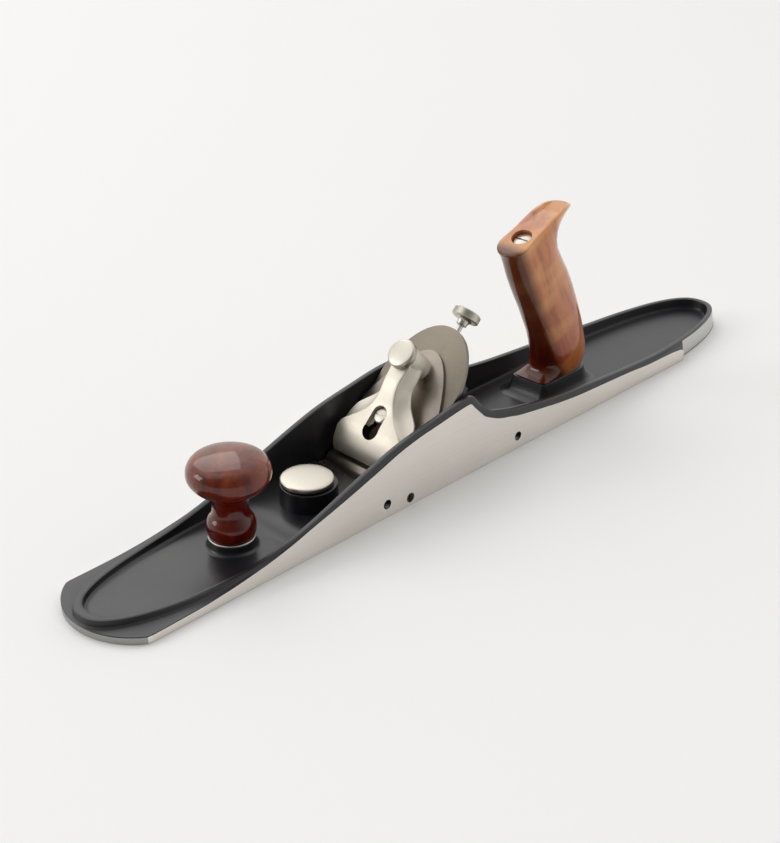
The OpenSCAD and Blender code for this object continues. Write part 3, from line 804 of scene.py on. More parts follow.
@dataclass
class Casting:
    """The iron body: sole, walls, toe flange, deck, bosses, and every hole in them."""

    half_width: float = field(default_factory=lambda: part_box("body")[1].y / MM)
    toe: float = field(default_factory=lambda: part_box("body")[0].x / MM)
    heel: float = field(default_factory=lambda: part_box("body")[1].x / MM)
    floor: float = field(default_factory=lambda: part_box("frog")[0].z / MM)
    wall: float = 4.0
    rim_setback: float = 0.4
    toe_rim_setback: float = 2.5
    heel_draft: float = 2.2
    toe_rim_width: float = 5.5
    heel_rim_width: float = 4.2
    toe_run: float = 150.0
    heel_run: float = 165.0
    toe_arc: float = 43.0
    strip_end: float = 206.5
    strip_lead: float = 1.5
    strip_fade: float = 3.0
    draft_lead: float = 6.0
    corner_blend: float = 1.6
    least_rim: float = 1.9
    chamfer: float = 0.35
    sole_edge: float = 0.45
    ledge: float = 1.5
    toe_edge_height: float = 2.6
    crest_end: tuple[float, float] = (-19.5, 6.0)
    mouth_slack: float = 1.85
    mouth_rise: float = 14.0
    slot_radius: float = 4.3
    stop_bore: tuple[float, float] = (2.55, 16.0)
    side_bore: tuple[float, float] = (3.05, 6.0)
    fence_bore: tuple[float, float] = (5.4, 0.3)
    edge: float = 0.6
    fillet: float = 2.2
    deck: tuple[float, float, float, float] = (-160.5, -138.5, -82.5, 9.0)
    knob_boss: tuple[float, float] = (13.0, 10.8)
    lock_boss: tuple[float, float] = (16.9, 21.0)
    lock_offset: float = 1.2
    pad: tuple[float, float, float, float] = (78.7, 128.7, 13.8, 16.8)
    recess: tuple[float, float, float] = (6.4, 30.6, 4.5)
    top_line: tuple[Point2, ...] = (
        (-222.5, 8.5), (-200, 9.57), (-183, 11.8), (-170, 14.3), (-157, 17.55), (-144, 21.5),
        (-97.6, 36.95), (-77, 42.75), (-56.4, 46.45), (-17.6, 51.45), (-16.4, 51.4),
        (-6.9, 42.1), (-3.3, 38.9), (0.6, 36.4), (4.7, 34.5), (9.1, 33.2), (20, 30.05),
        (45, 25.1), (70, 21.5), (89.6, 19.6), (149.5, 15.2), (190, 13.0), (228.5, 12.3))
    ground_line: tuple[Point2, ...] = (
        (-281, 4.2), (-253, 4.5), (-227, 5.2), (-214, 6.1), (-200, 7.6), (-186, 10.0),
        (-171, 12.6), (-156, 16.4), (-126, 24.2), (-94, 33.6), (-78, 38.6), (-62, 42.0),
        (-45, 44.4), (-27, 46.9), (-19, 47.6), (-14, 43.2), (-9, 38.2), (-5, 34.4), (0, 31.7),
        (9, 27.8), (19, 25.3), (28, 23.1), (48, 20), (68, 17.2), (89, 15.2), (110, 14.2),
        (142, 12.6), (165, 10.9), (188, 10.4), (200, 9.5), (203.5, 8.4), (205.5, 6.8),
        (206.8, 4.6), (207.8, 0.9))
    END_STEPS = 40
    SKIN_ROWS = 18
    END_POWERS = (2.5, 2.4)

    @staticmethod
    def end_half(distance: float, half: float, run: float) -> float:
        """Half width of a rounded end, a distance away from its tip."""
        along, across = Casting.END_POWERS
        return half * (1 - (1 - clamp(distance / run)) ** along) ** (1 / across)

    def foot_half(self, x: float) -> float:
        """Half width of the casting's foot at x: toe arc, straight sides, heel."""
        centre = self.toe + self.toe_arc
        if x < centre:
            arc = math.sqrt(max(self.toe_arc**2 - (centre - x) ** 2, 0.0))
            gap = clamp(0.5 + 0.5 * (self.half_width - arc) / self.corner_blend)
            eased = 0.8 * gap * (1 - gap) * self.corner_blend
            return arc * gap + self.half_width * (1 - gap) - eased
        round_end = self.end_half(self.heel - x, self.half_width, self.toe_run)
        return self.half_width + (round_end - self.half_width) * smooth_step(
            self.strip_end - self.strip_lead, self.strip_end + self.strip_fade, x)

    def stations(self) -> list[tuple[Point2, Point2, Point2]]:
        """Matching points of the foot, the rim's outside and its inside, near side first."""
        out = []
        half_rim = self.half_width - self.rim_setback
        half_in = self.half_width - self.wall
        rim_toe = self.toe + self.toe_rim_setback
        in_toe = rim_toe + self.toe_rim_width
        split = rim_toe + self.toe_run
        for i in range(self.END_STEPS):
            s = self.toe_run * (i / self.END_STEPS) ** 2
            foot = self.toe + s * (split - self.toe) / self.toe_run
            inner = s * (split - in_toe) / self.toe_run
            out.append(((foot, self.foot_half(foot)),
                        (rim_toe + s, self.end_half(s, half_rim, self.toe_run)),
                        (in_toe + inner, self.end_half(inner, half_in, self.toe_run))))
        rim_heel = self.heel - self.heel_draft
        in_heel = rim_heel - self.heel_rim_width
        rear = rim_heel - self.heel_run
        x = split
        while x < rear - 2.0:
            out.append(((x, self.half_width), (x, half_rim), (x, half_in)))
            x += 1.0 if self.crest_end[0] < x < self.crest_end[1] else 3.0 if abs(x) < 30 else 6.0
        for i in range(2 * self.END_STEPS, -1, -1):
            s = self.heel_run * (i / (2 * self.END_STEPS)) ** 1.7
            foot = self.heel - s * (self.heel - rear) / self.heel_run
            inner = s * (in_heel - rear) / self.heel_run
            out.append(((foot, self.foot_half(foot)),
                        (rim_heel - s, self.end_half(s, half_rim, self.heel_run)),
                        (in_heel - inner, self.end_half(inner, half_in, self.heel_run))))
        near = [tuple((px, -py) for px, py in row) for row in out]
        return near + out[-2::-1]

    @staticmethod
    def normals(points: Sequence[Point2]) -> list[Point2]:
        """Outward directions of a closed outline, whose last point repeats its first."""
        out = []
        last = len(points) - 1
        for i in range(len(points)):
            before = points[i - 1 if i else last - 1]
            after = points[i + 1 if i < last else 1]
            along = Vector((after[0] - before[0], after[1] - before[1]))
            along = along.normalized() if along.length > 1e-9 else Vector((0.0, 1.0))
            out.append((along.y, -along.x))
        return out

    def shell(self) -> bmesh.types.BMesh:
        """The walls, flange, floor and sole as one closed skin.

        Returns:
            The mesh, with its faces numbered as in Skin.
        """
        rows = self.stations()
        foots, rims, inners = (list(column) for column in zip(*rows))
        out_foot, out_rim, out_in = (self.normals(c) for c in (foots, rims, inners))

        def shifted(point: Point2, normal: Point2, by: float, z: float) -> Sequence[float]:
            return point[0] + normal[0] * by, point[1] + normal[1] * by, z

        def spot(i: int, j: int) -> Sequence[float]:
            foot, rim, inner = foots[i], rims[i], inners[i]
            top = sum(lookup(self.top_line, rim[0] + d) for d in (-0.8, 0, 0.8)) / 3.0
            edge, fillet = self.edge, self.fillet
            ground = min(lookup(self.ground_line, foot[0]), top - self.least_rim)
            shelf = min(lookup(self.ground_line, rim[0]), top - self.least_rim) + self.chamfer
            drafted = smooth_step(self.strip_end - self.draft_lead,
                                  self.strip_end + self.strip_fade, foot[0])
            ledge = min(self.ledge, max(math.dist(foot, rim) - self.chamfer, 0.06))
            if j in (5, 6, 7):
                plain = ((ledge, 0.0), (0.3 * ledge, 0.45), (0.0, 1.3))[j - 5]
                x, y, z = shifted(rim, out_rim[i], plain[0], min(shelf + plain[1], top - 0.8))
                share = (0.25, 0.55, 0.85)[j - 5]
                slope = [foot[k] + (rim[k] - foot[k]) * share for k in (0, 1)]
                slope.append(1.0 + (top - self.edge - 1.0) * share)
                return [a + (b - a) * drafted for a, b in zip((x, y, z), slope)]
            table = {
                0: (foot, out_foot[i], -2.0, 0.0),
                1: (foot, out_foot[i], -self.sole_edge, 0.0),
                2: (foot, out_foot[i], 0.0, self.sole_edge),
                3: (foot, out_foot[i], 0.0, ground),
                4: (foot, out_foot[i], -0.3, ground + self.chamfer),
                8: (rim, out_rim[i], 0.0, top - edge),
                9: (rim, out_rim[i], -0.3 * edge, top - 0.3 * edge),
                10: (rim, out_rim[i], -edge, top), 11: (inner, out_in[i], edge, top),
                12: (inner, out_in[i], 0.3 * edge, top - 0.3 * edge),
                13: (inner, out_in[i], 0.0, top - edge),
                14: (inner, out_in[i], 0.0, self.floor + fillet),
                15: (inner, out_in[i], -0.3 * fillet, self.floor + 0.3 * fillet),
                16: (inner, out_in[i], -fillet, self.floor),
                17: (inner, out_in[i], -fillet - 1.0, self.floor)}
            return shifted(*table[j])

        bm = warped_grid(len(rows), self.SKIN_ROWS, spot)
        for face in bm.faces:
            face.material_index = self.skin_of(face)
        return bm

    def skin_of(self, face: bmesh.types.BMFace) -> Skin:
        """Tells ground iron from enamel by a face's place and direction."""
        spot, normal = face.calc_center_median() / MM, face.normal
        upright = abs(normal.z) < 0.2
        toe_edge = spot.x < self.toe + 25 and spot.z < self.toe_edge_height
        # Faces at the toe end that face the toe take the darker iron: painted shade.
        if upright and toe_edge and normal.x < -0.35:
            return Skin.TOE_EDGE
        side = abs(spot.y) > self.half_width - 0.06 and spot.x < self.strip_end + 1.0
        sole = normal.z < -0.5 and min(v.co.z for v in face.verts) < 0.1 * MM
        if sole or (upright and (side or toe_edge)):
            return Skin.GROUND
        outward = spot.y * normal.y > 0 or spot.x * normal.x > 0
        heel = spot.x > self.strip_end + self.strip_fade
        return Skin.HEEL if heel and outward and abs(normal.z) < 0.34 else Skin.ENAMEL

    def boss(self, radius: float, top: float, x: float) -> bmesh.types.BMesh:
        """A round boss with a flared foot and a rounded top edge."""
        low = self.floor
        profile = chain([(0, low - 2), (radius + 2.6, low - 2), (radius + 2.6, low - 0.1)],
                        bezier((radius + 2.5, low + 0.05), (radius + 0.5, low + 0.3),
                               (radius + 0.1, low + 2.6), 6),
                        bezier((radius, top - 0.9), (radius, top), (radius - 0.9, top), 4),
                        [(0, top)])
        bm = spun(profile, 72)
        bmesh.ops.translate(bm, verts=bm.verts, vec=(x * MM, 0, 0))
        return bm

    def tote_pad(self) -> bmesh.types.BMesh:
        """The raised seat of the rear handle, with a flared foot."""
        x0, x1, half, top = self.pad
        rings = ((8.6, self.floor - 1.5), (8.6, self.floor + 0.02), (6.2, self.floor + 0.45),
                 (4.4, self.floor + 1.4), (3.0, self.floor + 3.0), (1.8, self.floor + 5.2),
                 (0.8, self.floor + 8.0), (0.0, top - 0.9), (-0.2, top - 0.25), (-0.7, top))

        def outline(grow: float) -> list[Point2]:
            reach, corner = half + grow, 2.5 + max(grow, 0.0)
            front = x0 - grow
            arc = [math.pi / 2 * i / 6 for i in range(7)]
            left = [(front + corner - corner * math.sin(a), reach - corner + corner
                     * math.cos(a)) for a in arc]
            right = [(px, -py) for px, py in reversed(left)]
            sweep = [-math.pi / 2 + math.pi * i / 24 for i in range(25)]
            back = [(x1 - half + reach * math.cos(a), reach * math.sin(a)) for a in sweep]
            return left + right + back + left[:1]

        loops = [outline(grow) for grow, _ in rings]
        return warped_grid(len(loops[0]), len(rings),
                           lambda i, j: (*loops[j][i], rings[j][1]))

    def bore(self, spot: Vector, axis: Axis, radius: float, length: float,
             flare: float = 0.0) -> bmesh.types.BMesh:
        """A round cutter centred on spot, with its rims flared where asked."""
        h = length / 2.0
        bm = spun([(0, -h), (radius + flare, -h), (radius + flare, -h + 0.01),
                   (radius, -h + 0.01 + flare), (radius, h - 0.01 - flare),
                   (radius + flare, h - 0.01), (radius + flare, h), (0, h)]
                  if flare else [(0, -h), (radius, -h), (radius, h), (0, h)], 40)
        turn = Vector((0, 0, 1)).rotation_difference(Vector(axis.value)).to_matrix().to_4x4()
        bm.transform(Matrix.Translation(spot * MM) @ turn)
        return bm

    def build(self) -> None:
        """Builds the casting and stands it in place of the CAD body."""
        obj = to_object(self.shell(), "casting", [ENAMEL, GROUND_IRON, HEEL_IRON, TOE_EDGE_SHADE_IRON])
        lock, knob = middle("toe_lock_stud"), middle("front_knob")
        inside = self.half_width - self.wall + 0.3
        x0, x_level, x1, top = self.deck
        run = x_level - x0
        foot = bezier((x0, self.floor - 0.1), (x0 + 0.3 * run, self.floor),
                      (x0 + 0.5 * run, (self.floor + top) / 2), 8)
        head = bezier((x0 + 0.5 * run, (self.floor + top) / 2), (x0 + 0.7 * run, top),
                      (x_level, top), 8)
        deck = prism(chain([(x0, 3.0)], foot, head, [(x1, top), (x1, 3.0)]), -inside, inside)
        deck.transform(Matrix.Rotation(math.pi / 2, 4, "X"))
        carve(obj, [deck, self.boss(*self.knob_boss, knob.x),
                    self.boss(*self.lock_boss, lock.x + self.lock_offset), self.tote_pad()],
              "UNION")
        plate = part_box("toe_plate")
        gap, half, web = self.recess
        start = plate[0].x / MM - gap
        recess = prism([(start, -half), (x1 + 1, -half), (x1 + 1, half), (start, half)],
                       -1.0, web)
        back, rise = MOUTH_X - self.mouth_slack, self.mouth_rise
        mouth = prism([(x1, -2), (back, -2), (back + rise, 12),
                       (x1, 12)], -self.half_width + self.wall + 0.2,
                      self.half_width - self.wall - 0.2)
        mouth.transform(Matrix.Rotation(math.pi / 2, 4, "X"))
        slot = prism(stadium(lock.x - 6, lock.x + 1, self.slot_radius), -1.0,
                     self.lock_boss[1] + 2)
        bores = [self.bore(Vector((lock.x + 12, 0, middle("toe_stop_screw").z)), Axis.X,
                           *self.stop_bore)]
        for node, side in (("set_screw_near", -1), ("set_screw_far", 1)):
            screw = middle(node)
            spot = Vector((screw.x, side * (self.half_width - 2.5), screw.z))
            bores.append(self.bore(spot, Axis.Y, *self.side_bore))
        carve(obj, [recess, mouth, slot] + bores, "DIFFERENCE", Skin.GROUND)
        holes = []
        pattern = next(m for m in frame["record"]["mounts"] if m["name"] == "fence_holes")
        reach = pattern["dims"]["spacing_x_mm"] / 2.0
        for side in (-1, 1):
            spot = Vector((pattern["pos_m"][0] / MM + side * reach, -self.half_width + 2.4,
                           pattern["pos_m"][2] / MM))
            holes.append(self.bore(spot, Axis.Y, pattern["dims"]["hole_r_mm"],
                                   *self.fence_bore))
        carve(obj, holes, "DIFFERENCE", Skin.ENAMEL)
        place(obj, "casting", Slot.CASTING, "body")


@dataclass
class FrontKnob:
    """The turned front knob on its ring."""

    base: float = field(default_factory=lambda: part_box("front_knob")[0].z / MM)
    top: float = field(default_factory=lambda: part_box("front_knob")[1].z / MM)
    radius: float = field(default_factory=lambda: (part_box("front_knob")[1].y) / MM)
    foot: float = 12.6
    waist: float = 10.2
    ring_bore: float = 5.5

    def profile(self) -> list[Point2]:
        """The knob's outline from the middle of its foot to the middle of its crown."""
        z0, h, r = self.base, self.top - self.base, self.radius
        foot, waist = self.foot, self.waist
        return chain(
            [(0, z0), (foot - 0.5, z0), (foot - 0.1, z0 + 0.2)],
            bezier((foot, z0 + 0.4), (foot + 1.35, z0 + 0.04 * h), (foot + 1.4, z0 + 0.125 * h), 8),
            bezier((foot + 1.4, z0 + 0.125 * h), (foot + 1.4, z0 + 0.19 * h),
                   (foot - 0.4, z0 + 0.245 * h), 8),
            bezier((foot - 0.4, z0 + 0.245 * h), (waist, z0 + 0.29 * h),
                   (waist, z0 + 0.385 * h), 8),
            bezier((waist, z0 + 0.385 * h), (waist, z0 + 0.5 * h), (r - 5.9, z0 + 0.605 * h), 12),
            bezier((r - 5.9, z0 + 0.605 * h), (r, z0 + 0.69 * h), (r, z0 + 0.785 * h), 12),
            bezier((r, z0 + 0.785 * h), (r, z0 + 0.905 * h), (r - 4.5, z0 + 0.956 * h), 12),
            bezier((r - 4.5, z0 + 0.956 * h), (r - 10, z0 + 1.0 * h), (0, z0 + h), 12))

    def build(self) -> None:
        """Builds the knob and its ring."""
        shift = (middle("front_knob").x * MM, 0, 0)
        bm = spun(self.profile(), 128)
        bmesh.ops.translate(bm, verts=bm.verts, vec=shift)
        place(to_object(bm, "turned_knob", [KNOB_WOOD]), "casting", Slot.WOOD, "front_knob")
        low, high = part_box("knob_ring")
        r, z0, z1 = high.y / MM, low.z / MM, high.z / MM
        ring = spun([(self.ring_bore, z0), (r - 0.1, z0), (r, z0 + 0.2), (r, z1 - 0.3),
                     (r - 0.35, z1), (self.ring_bore, z1), (self.ring_bore, z0)], 96)
        bmesh.ops.translate(ring, verts=ring.verts, vec=shift)
        place(to_object(ring, "knob_seat_ring", [TURNED_NICKEL]), "casting", Slot.STEEL,
              "knob_ring")


@dataclass
class Tote:
    """The rear handle, lofted from foot to horn along slanting sections."""

    columns: int = 72
    seat: tuple[float, float] = (67.1, 117.6)
    seat_radius: float = 6.6
    rod_bore: float = 4.1
    rod_width: float = 5.0
    top_up: Point2 = (-0.406, 0.914)
    top_edge: tuple[Point2, ...] = ((0.45, 0.22), (1.0, 0.34), (2.0, 0.34))
    front: tuple[Point2, ...] = (
        (79.0, 16.8), (79.0, 17.5), (81.3, 18.6), (84.6, 20.3), (86.2, 23.0), (85.8, 28.0),
        (84.5, 34.5), (82.5, 42.5), (79.7, 50.5), (76.0, 57.8), (70.5, 69.3), (65.9, 77.5),
        (61.8, 85.5), (57.4, 95.0), (54.1, 103.6), (52.2, 107.8), (50.8, 110.2), (50.1, 111.1),
        (49.9, 111.5), (49.9, 111.8), (50.2, 112.3))
    rear: tuple[Point2, ...] = (
        (128.9, 16.8), (129.2, 17.7), (130.0, 19.6), (130.9, 22.4), (131.5, 26.0),
        (131.0, 32.0), (129.0, 39.0), (126.3, 47.2), (123.7, 54.8), (120.7, 62.4),
        (116.0, 73.2), (111.4, 83.0), (106.2, 92.0), (100.2, 101.0), (96.6, 107.6),
        (95.8, 113.0), (97.2, 118.4), (100.6, 122.6), (105.4, 126.0), (110.3, 128.9),
        (110.5, 130.2))
    widths: tuple[float, ...] = (
        12.7, 12.9, 13.0, 13.0, 13.0, 13.0, 13.0, 13.0, 13.0, 13.0, 13.0, 13.0, 13.0, 12.9,
        12.6, 12.4, 12.2, 12.1, 12.0, 12.0, 11.8)
    drop: tuple[float, ...] = (
        0, 0, 0, 0, 0, 0, 0, 0, 0, 0, 0, 0, 0, 0, 0.0, 0.12, 0.35, 0.6, 0.85, 1.0, 1.0)
    square: tuple[float, ...] = (
        1, 1, 0.8, 0.45, 0.2, 0.05, 0, 0, 0, 0, 0, 0, 0, 0, 0, 0, 0, 0, 0, 0, 0)
    plan: tuple[Point2, ...] = (
        (0, 0), (0.01, 0.36), (0.03, 0.57), (0.06, 0.75), (0.1, 0.89), (0.16, 0.97),
        (0.22, 0.95), (0.36, 0.88), (0.62, 0.86), (0.72, 0.80), (0.82, 0.69), (0.9, 0.55),
        (0.95, 0.41), (0.985, 0.22), (1, 0))
    hump: tuple[Point2, ...] = (
        (0, 0), (0.16, 1.4), (0.33, 2.85), (0.49, 4.3), (0.66, 5.6), (0.76, 5.8), (0.86, 4.5),
        (0.94, 2.55), (0.985, 1.0), (1, 0))

    def girth(self, s: float, drop: float, square: float) -> float:
        """Half width share at s (0 front, 1 rear) of a section.

        Args:
            s: Place along the section.
            drop: 0 for the grip's oval, 1 for the plan of the top face.
            square: 1 for the foot's square front.

        Returns:
            The share of the section's half width.
        """
        oval = (1 - abs(2 * s - 1) ** 2.5) ** (1 / 2.1)
        if square and s < 0.5:
            blocky = (1 - abs(2 * s - 1) ** 14) ** (1 / 6)
            oval += (blocky - oval) * square
        return oval + (lookup(self.plan, s) - oval) * drop

    def build(self) -> None:
        """Builds the handle, sinks its nut seat and fits the nut."""
        rings = [(f, r, w, d, q, 0.0) for f, r, w, d, q in
                 zip(self.front, self.rear, self.widths, self.drop, self.square)]
        up = Vector(self.top_up)
        f, r, w = self.front[-1], self.rear[-1], self.widths[-1]
        for inset, rise in self.top_edge:
            rings.append(((f[0] + up.x * rise, f[1] + up.y * rise),
                          (r[0] + up.x * rise, r[1] + up.y * rise), w, 1.0, 0.0, inset))

        def spot(i: int, j: int) -> Sequence[float]:
            front, rear, width, drop, square, inset = rings[j]
            turn = TAU * i / self.columns
            s = (1 - math.cos(turn)) / 2.0
            length = math.dist(front, rear)
            side = 1.0 if turn <= math.pi else -1.0
            reach = width * self.girth(s, drop, square)
            if inset:
                s = (inset + s * (length - 2 * inset)) / length
                reach = max(reach - inset, 0.0) if reach > 2 * inset else reach * 0.5
            return (front[0] + (rear[0] - front[0]) * s, side * reach,
                    front[1] + (rear[1] - front[1]) * s + drop * lookup(self.hump, s))

        bm = warped_grid(self.columns + 1, len(rings), spot)
        obj = to_object(bm, "shaped_handle", [TOTE_WOOD], 50.0)
        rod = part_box("tote_rod")[1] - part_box("tote_rod")[0]
        lean = math.atan2(rod.x - self.rod_width * MM * 0.91, rod.z - self.rod_width * MM * 0.41)
        seat = (Matrix.Translation((self.seat[0] * MM, 0, self.seat[1] * MM))
                @ Matrix.Rotation(-lean, 4, "Y"))
        rod_r, nut_r = self.rod_bore, self.seat_radius
        well = spun([(0, -14), (rod_r, -14), (rod_r, -2.6), (nut_r, -2.6), (nut_r, 9.0),
                     (0, 9.0)], 64)
        well.transform(seat)
        carve(obj, [well], "DIFFERENCE", 0, 50.0)
        place(obj, "casting", Slot.WOOD, "tote")
        softened("tote_nut", TURNED_NICKEL, "casting", Slot.NICKEL, 0.3)


@dataclass
class ToeLock:
    """The sliding toe plate with its lock knob, and the screw that stops it."""

    stud_bore: float = 4.1

    def build(self) -> None:
        """Builds the lock knob and finishes the plate, washer and screws."""
        low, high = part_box("toe_lock_knob")
        r, z0, z1 = high.y / MM, low.z / MM, high.z / MM
        bore = self.stud_bore
        bm = spun(chain([(bore, z0), (r - 0.9, z0)],
                        bezier((r - 0.5, z0 + 0.05), (r, z0 + 0.1), (r, z0 + 0.8), 4),
                        bezier((r, z1 - 1.5), (r, z1 - 0.8), (r - 0.9, z1 - 0.5), 4),
                        bezier((r - 1.2, z1 - 0.42), (r - 4, z1), (0, z1), 6),
                        [(0, z1 - 2), (bore, z1 - 2), (bore, z0)]), 96)
        bmesh.ops.translate(bm, verts=bm.verts, vec=(middle("toe_lock_knob").x * MM, 0, 0))
        place(to_object(bm, "toe_lock_disc", [TURNED_NICKEL]), "toe_lock", Slot.NICKEL,
              "toe_lock_knob")
        softened("toe_plate", TOE_IRON, "toe", Slot.TOE, 0.3)
        softened("toe_lock_washer", STEEL, "toe", Slot.STEEL, 0.2)
        softened("toe_stop_screw", STEEL, "toe_stop", Slot.STEEL, 0.2)


@dataclass
class LeverCap:
    """The lever cap with its keyhole and thumb screw boss."""

    steps: int = 76
    start: float = 11.0
    end: float = THUMB_W
    key_w: float = 29.0
    key_radius: float = 5.8
    slot_radius: float = 3.6
    head_radius: float = 5.4
    head_floor: float = 17.4
    thumb_bore: float = 3.1
    through: tuple[float, float] = (4.0, 30.0)
    boss: tuple[float, float, float] = (7.9, 9.6, 26.9)
    top: tuple[Point2, ...] = ((11, 11.0), (12, 13.0), (14, 15.0), (16, 16.4), (20, 18.3),
                               (25, 20.0), (30, 20.9), (40, 21.0), (45, 21.9), (50, 23.6),
                               (56, 25.6), (62, 26.8), (76.7, 26.9))
    under: tuple[Point2, ...] = ((11, 9.7), (14.4, 7.3), (15.6, 6.6), (18.5, 6.6), (20.5, 8.4),
                                 (24, 11.2), (30, 13.2), (46, 14.0), (58, 14.8), (76.7, 15.0))
    flank: tuple[Point2, ...] = ((11, 10.4), (16, 11.2), (24, 14.2), (30, 15.4), (46, 15.8),
                                 (60, 16.4), (76.7, 17.0))
    low_half: tuple[Point2, ...] = ((11, 25.4), (13, 26.0), (28, 26.2), (33, 25.9), (37, 25.1),
                                    (42, 23.2), (46, 19.6), (51, 14.6), (56.5, 10.8),
                                    (61, 9.0), (70, 8.4), (76.7, 7.4))
    top_half: tuple[Point2, ...] = ((11, 24.8), (14, 25.2), (24, 25.2), (28, 23.6),
                                    (32.5, 19.0), (37, 13.8), (43, 9.3), (50, 6.3), (56, 5.5),
                                    (62, 5.4), (70, 6.0), (76.7, 6.6))

    def section(self, w: float) -> list[Point2]:
        """The closed outline across the cap at w, as y and h, from its underside's middle."""
        top, under = lookup(self.top, w), lookup(self.under, w)
        side = min(max(lookup(self.flank, w), under + 0.7), top - 0.9)
        b, a = lookup(self.low_half, w), lookup(self.top_half, w)
        half = [(0.0, under), (0.55 * b, under), (b - 0.8, under), (b - 0.25, under + 0.25),
                (b, under + 0.5), (b, side - 0.2)]
        half += bezier((b - 0.12, side + 0.1), (a + 0.24 * (b - a) + 0.3, side + 0.3 *
                       (top - side)), (a + 0.45, top - 0.45), 8)
        half += [(a + 0.14, top - 0.14), (a - 0.3, top), (0.6 * a, top + 0.12),
                 (0.3 * a, top + 0.16)]
        return half + [(0.0, top + 0.17)] + [(-y, h) for y, h in reversed(half)]

    def build(self, bed: Matrix) -> None:
        """Builds the cap on the bed."""
        ws = [self.start + (self.end - self.start) * i / self.steps
              for i in range(self.steps + 1)]
        loops = [self.section(w) for w in ws]
        bm = warped_grid(len(loops[0]), len(ws),
                         lambda i, j: (ws[j], loops[j][i][0], loops[j][i][1]))
        # The second material blackens the keyhole and slot walls below: painted shade in the holes.
        obj = to_object(bm, "lever_cap_cast", [NICKEL, BLACKENED_STEEL_AND_HOLE_SHADE])
        r, low, high = self.boss
        post = spun(chain([(0, low), (r - 0.4, low), (r, low + 0.4)],
                          bezier((r, high - 0.6), (r, high), (r - 0.6, high), 3),
                          [(0, high)]), 72)
        post.transform(Matrix.Translation((self.end * MM, 0, 0)))
        carve(obj, [post], "UNION")
        low, high = self.through
        key, r = self.key_w, self.key_radius
        well = spun([(0, low), (r, low), (r, high), (0, high)], 48)
        well.transform(Matrix.Translation((key * MM, 0, 0)))
        r = self.thumb_bore
        bore = spun([(0, low), (r, low), (r, high + 2), (0, high + 2)], 32)
        bore.transform(Matrix.Translation((self.end * MM, 0, 0)))
        slot = prism(stadium(key, CAP_SCREW_W, self.slot_radius), low, high)
        # The keyhole well and the screw slot walls take the black material: painted shade in the
        # holes.
        carve(obj, [well, slot], "DIFFERENCE", 1)
        head = prism(stadium(key, CAP_SCREW_W, self.head_radius), self.head_floor, high)
        carve(obj, [head, bore], "DIFFERENCE")
        obj.data.transform(bed)
        place(obj, "cap", Slot.NICKEL, "lever_cap")


@dataclass
class KnurledKnob:
    """A small round knob with a straight knurl round its rim."""

    node: str
    body: str
    name: str
    profile: tuple[Point2, ...]
    centre: tuple[float, float]
    axis: Axis
    grip: tuple[float, float]
    teeth: int = 64
    depth: float = 0.32

    def build(self, bed: Matrix) -> None:
        """Turns the knob, presses the knurl and puts it on the bed."""
        bm = spun(self.profile, 2 * self.teeth)
        rim = max(r for r, _ in self.profile)
        for vert in bm.verts:
            radius = math.hypot(vert.co.x, vert.co.y) / MM
            z = vert.co.z / MM
            column = round(math.atan2(vert.co.y, vert.co.x) / TAU * 2 * self.teeth)
            if radius > rim - 0.2 and self.grip[0] < z < self.grip[1] and column % 2:
                vert.co.xy *= 1.0 - self.depth / radius
        w, h = self.centre
        if self.axis is Axis.X:
            turn = Matrix.Translation((0, 0, h * MM)) @ Matrix.Rotation(math.pi / 2, 4, "Y")
        else:
            turn = Matrix.Translation((w * MM, 0, 0))
        bm.transform(bed @ turn)
        place(to_object(bm, self.name, [TURNED_NICKEL], 30.0), self.body, Slot.NICKEL,
              self.node)


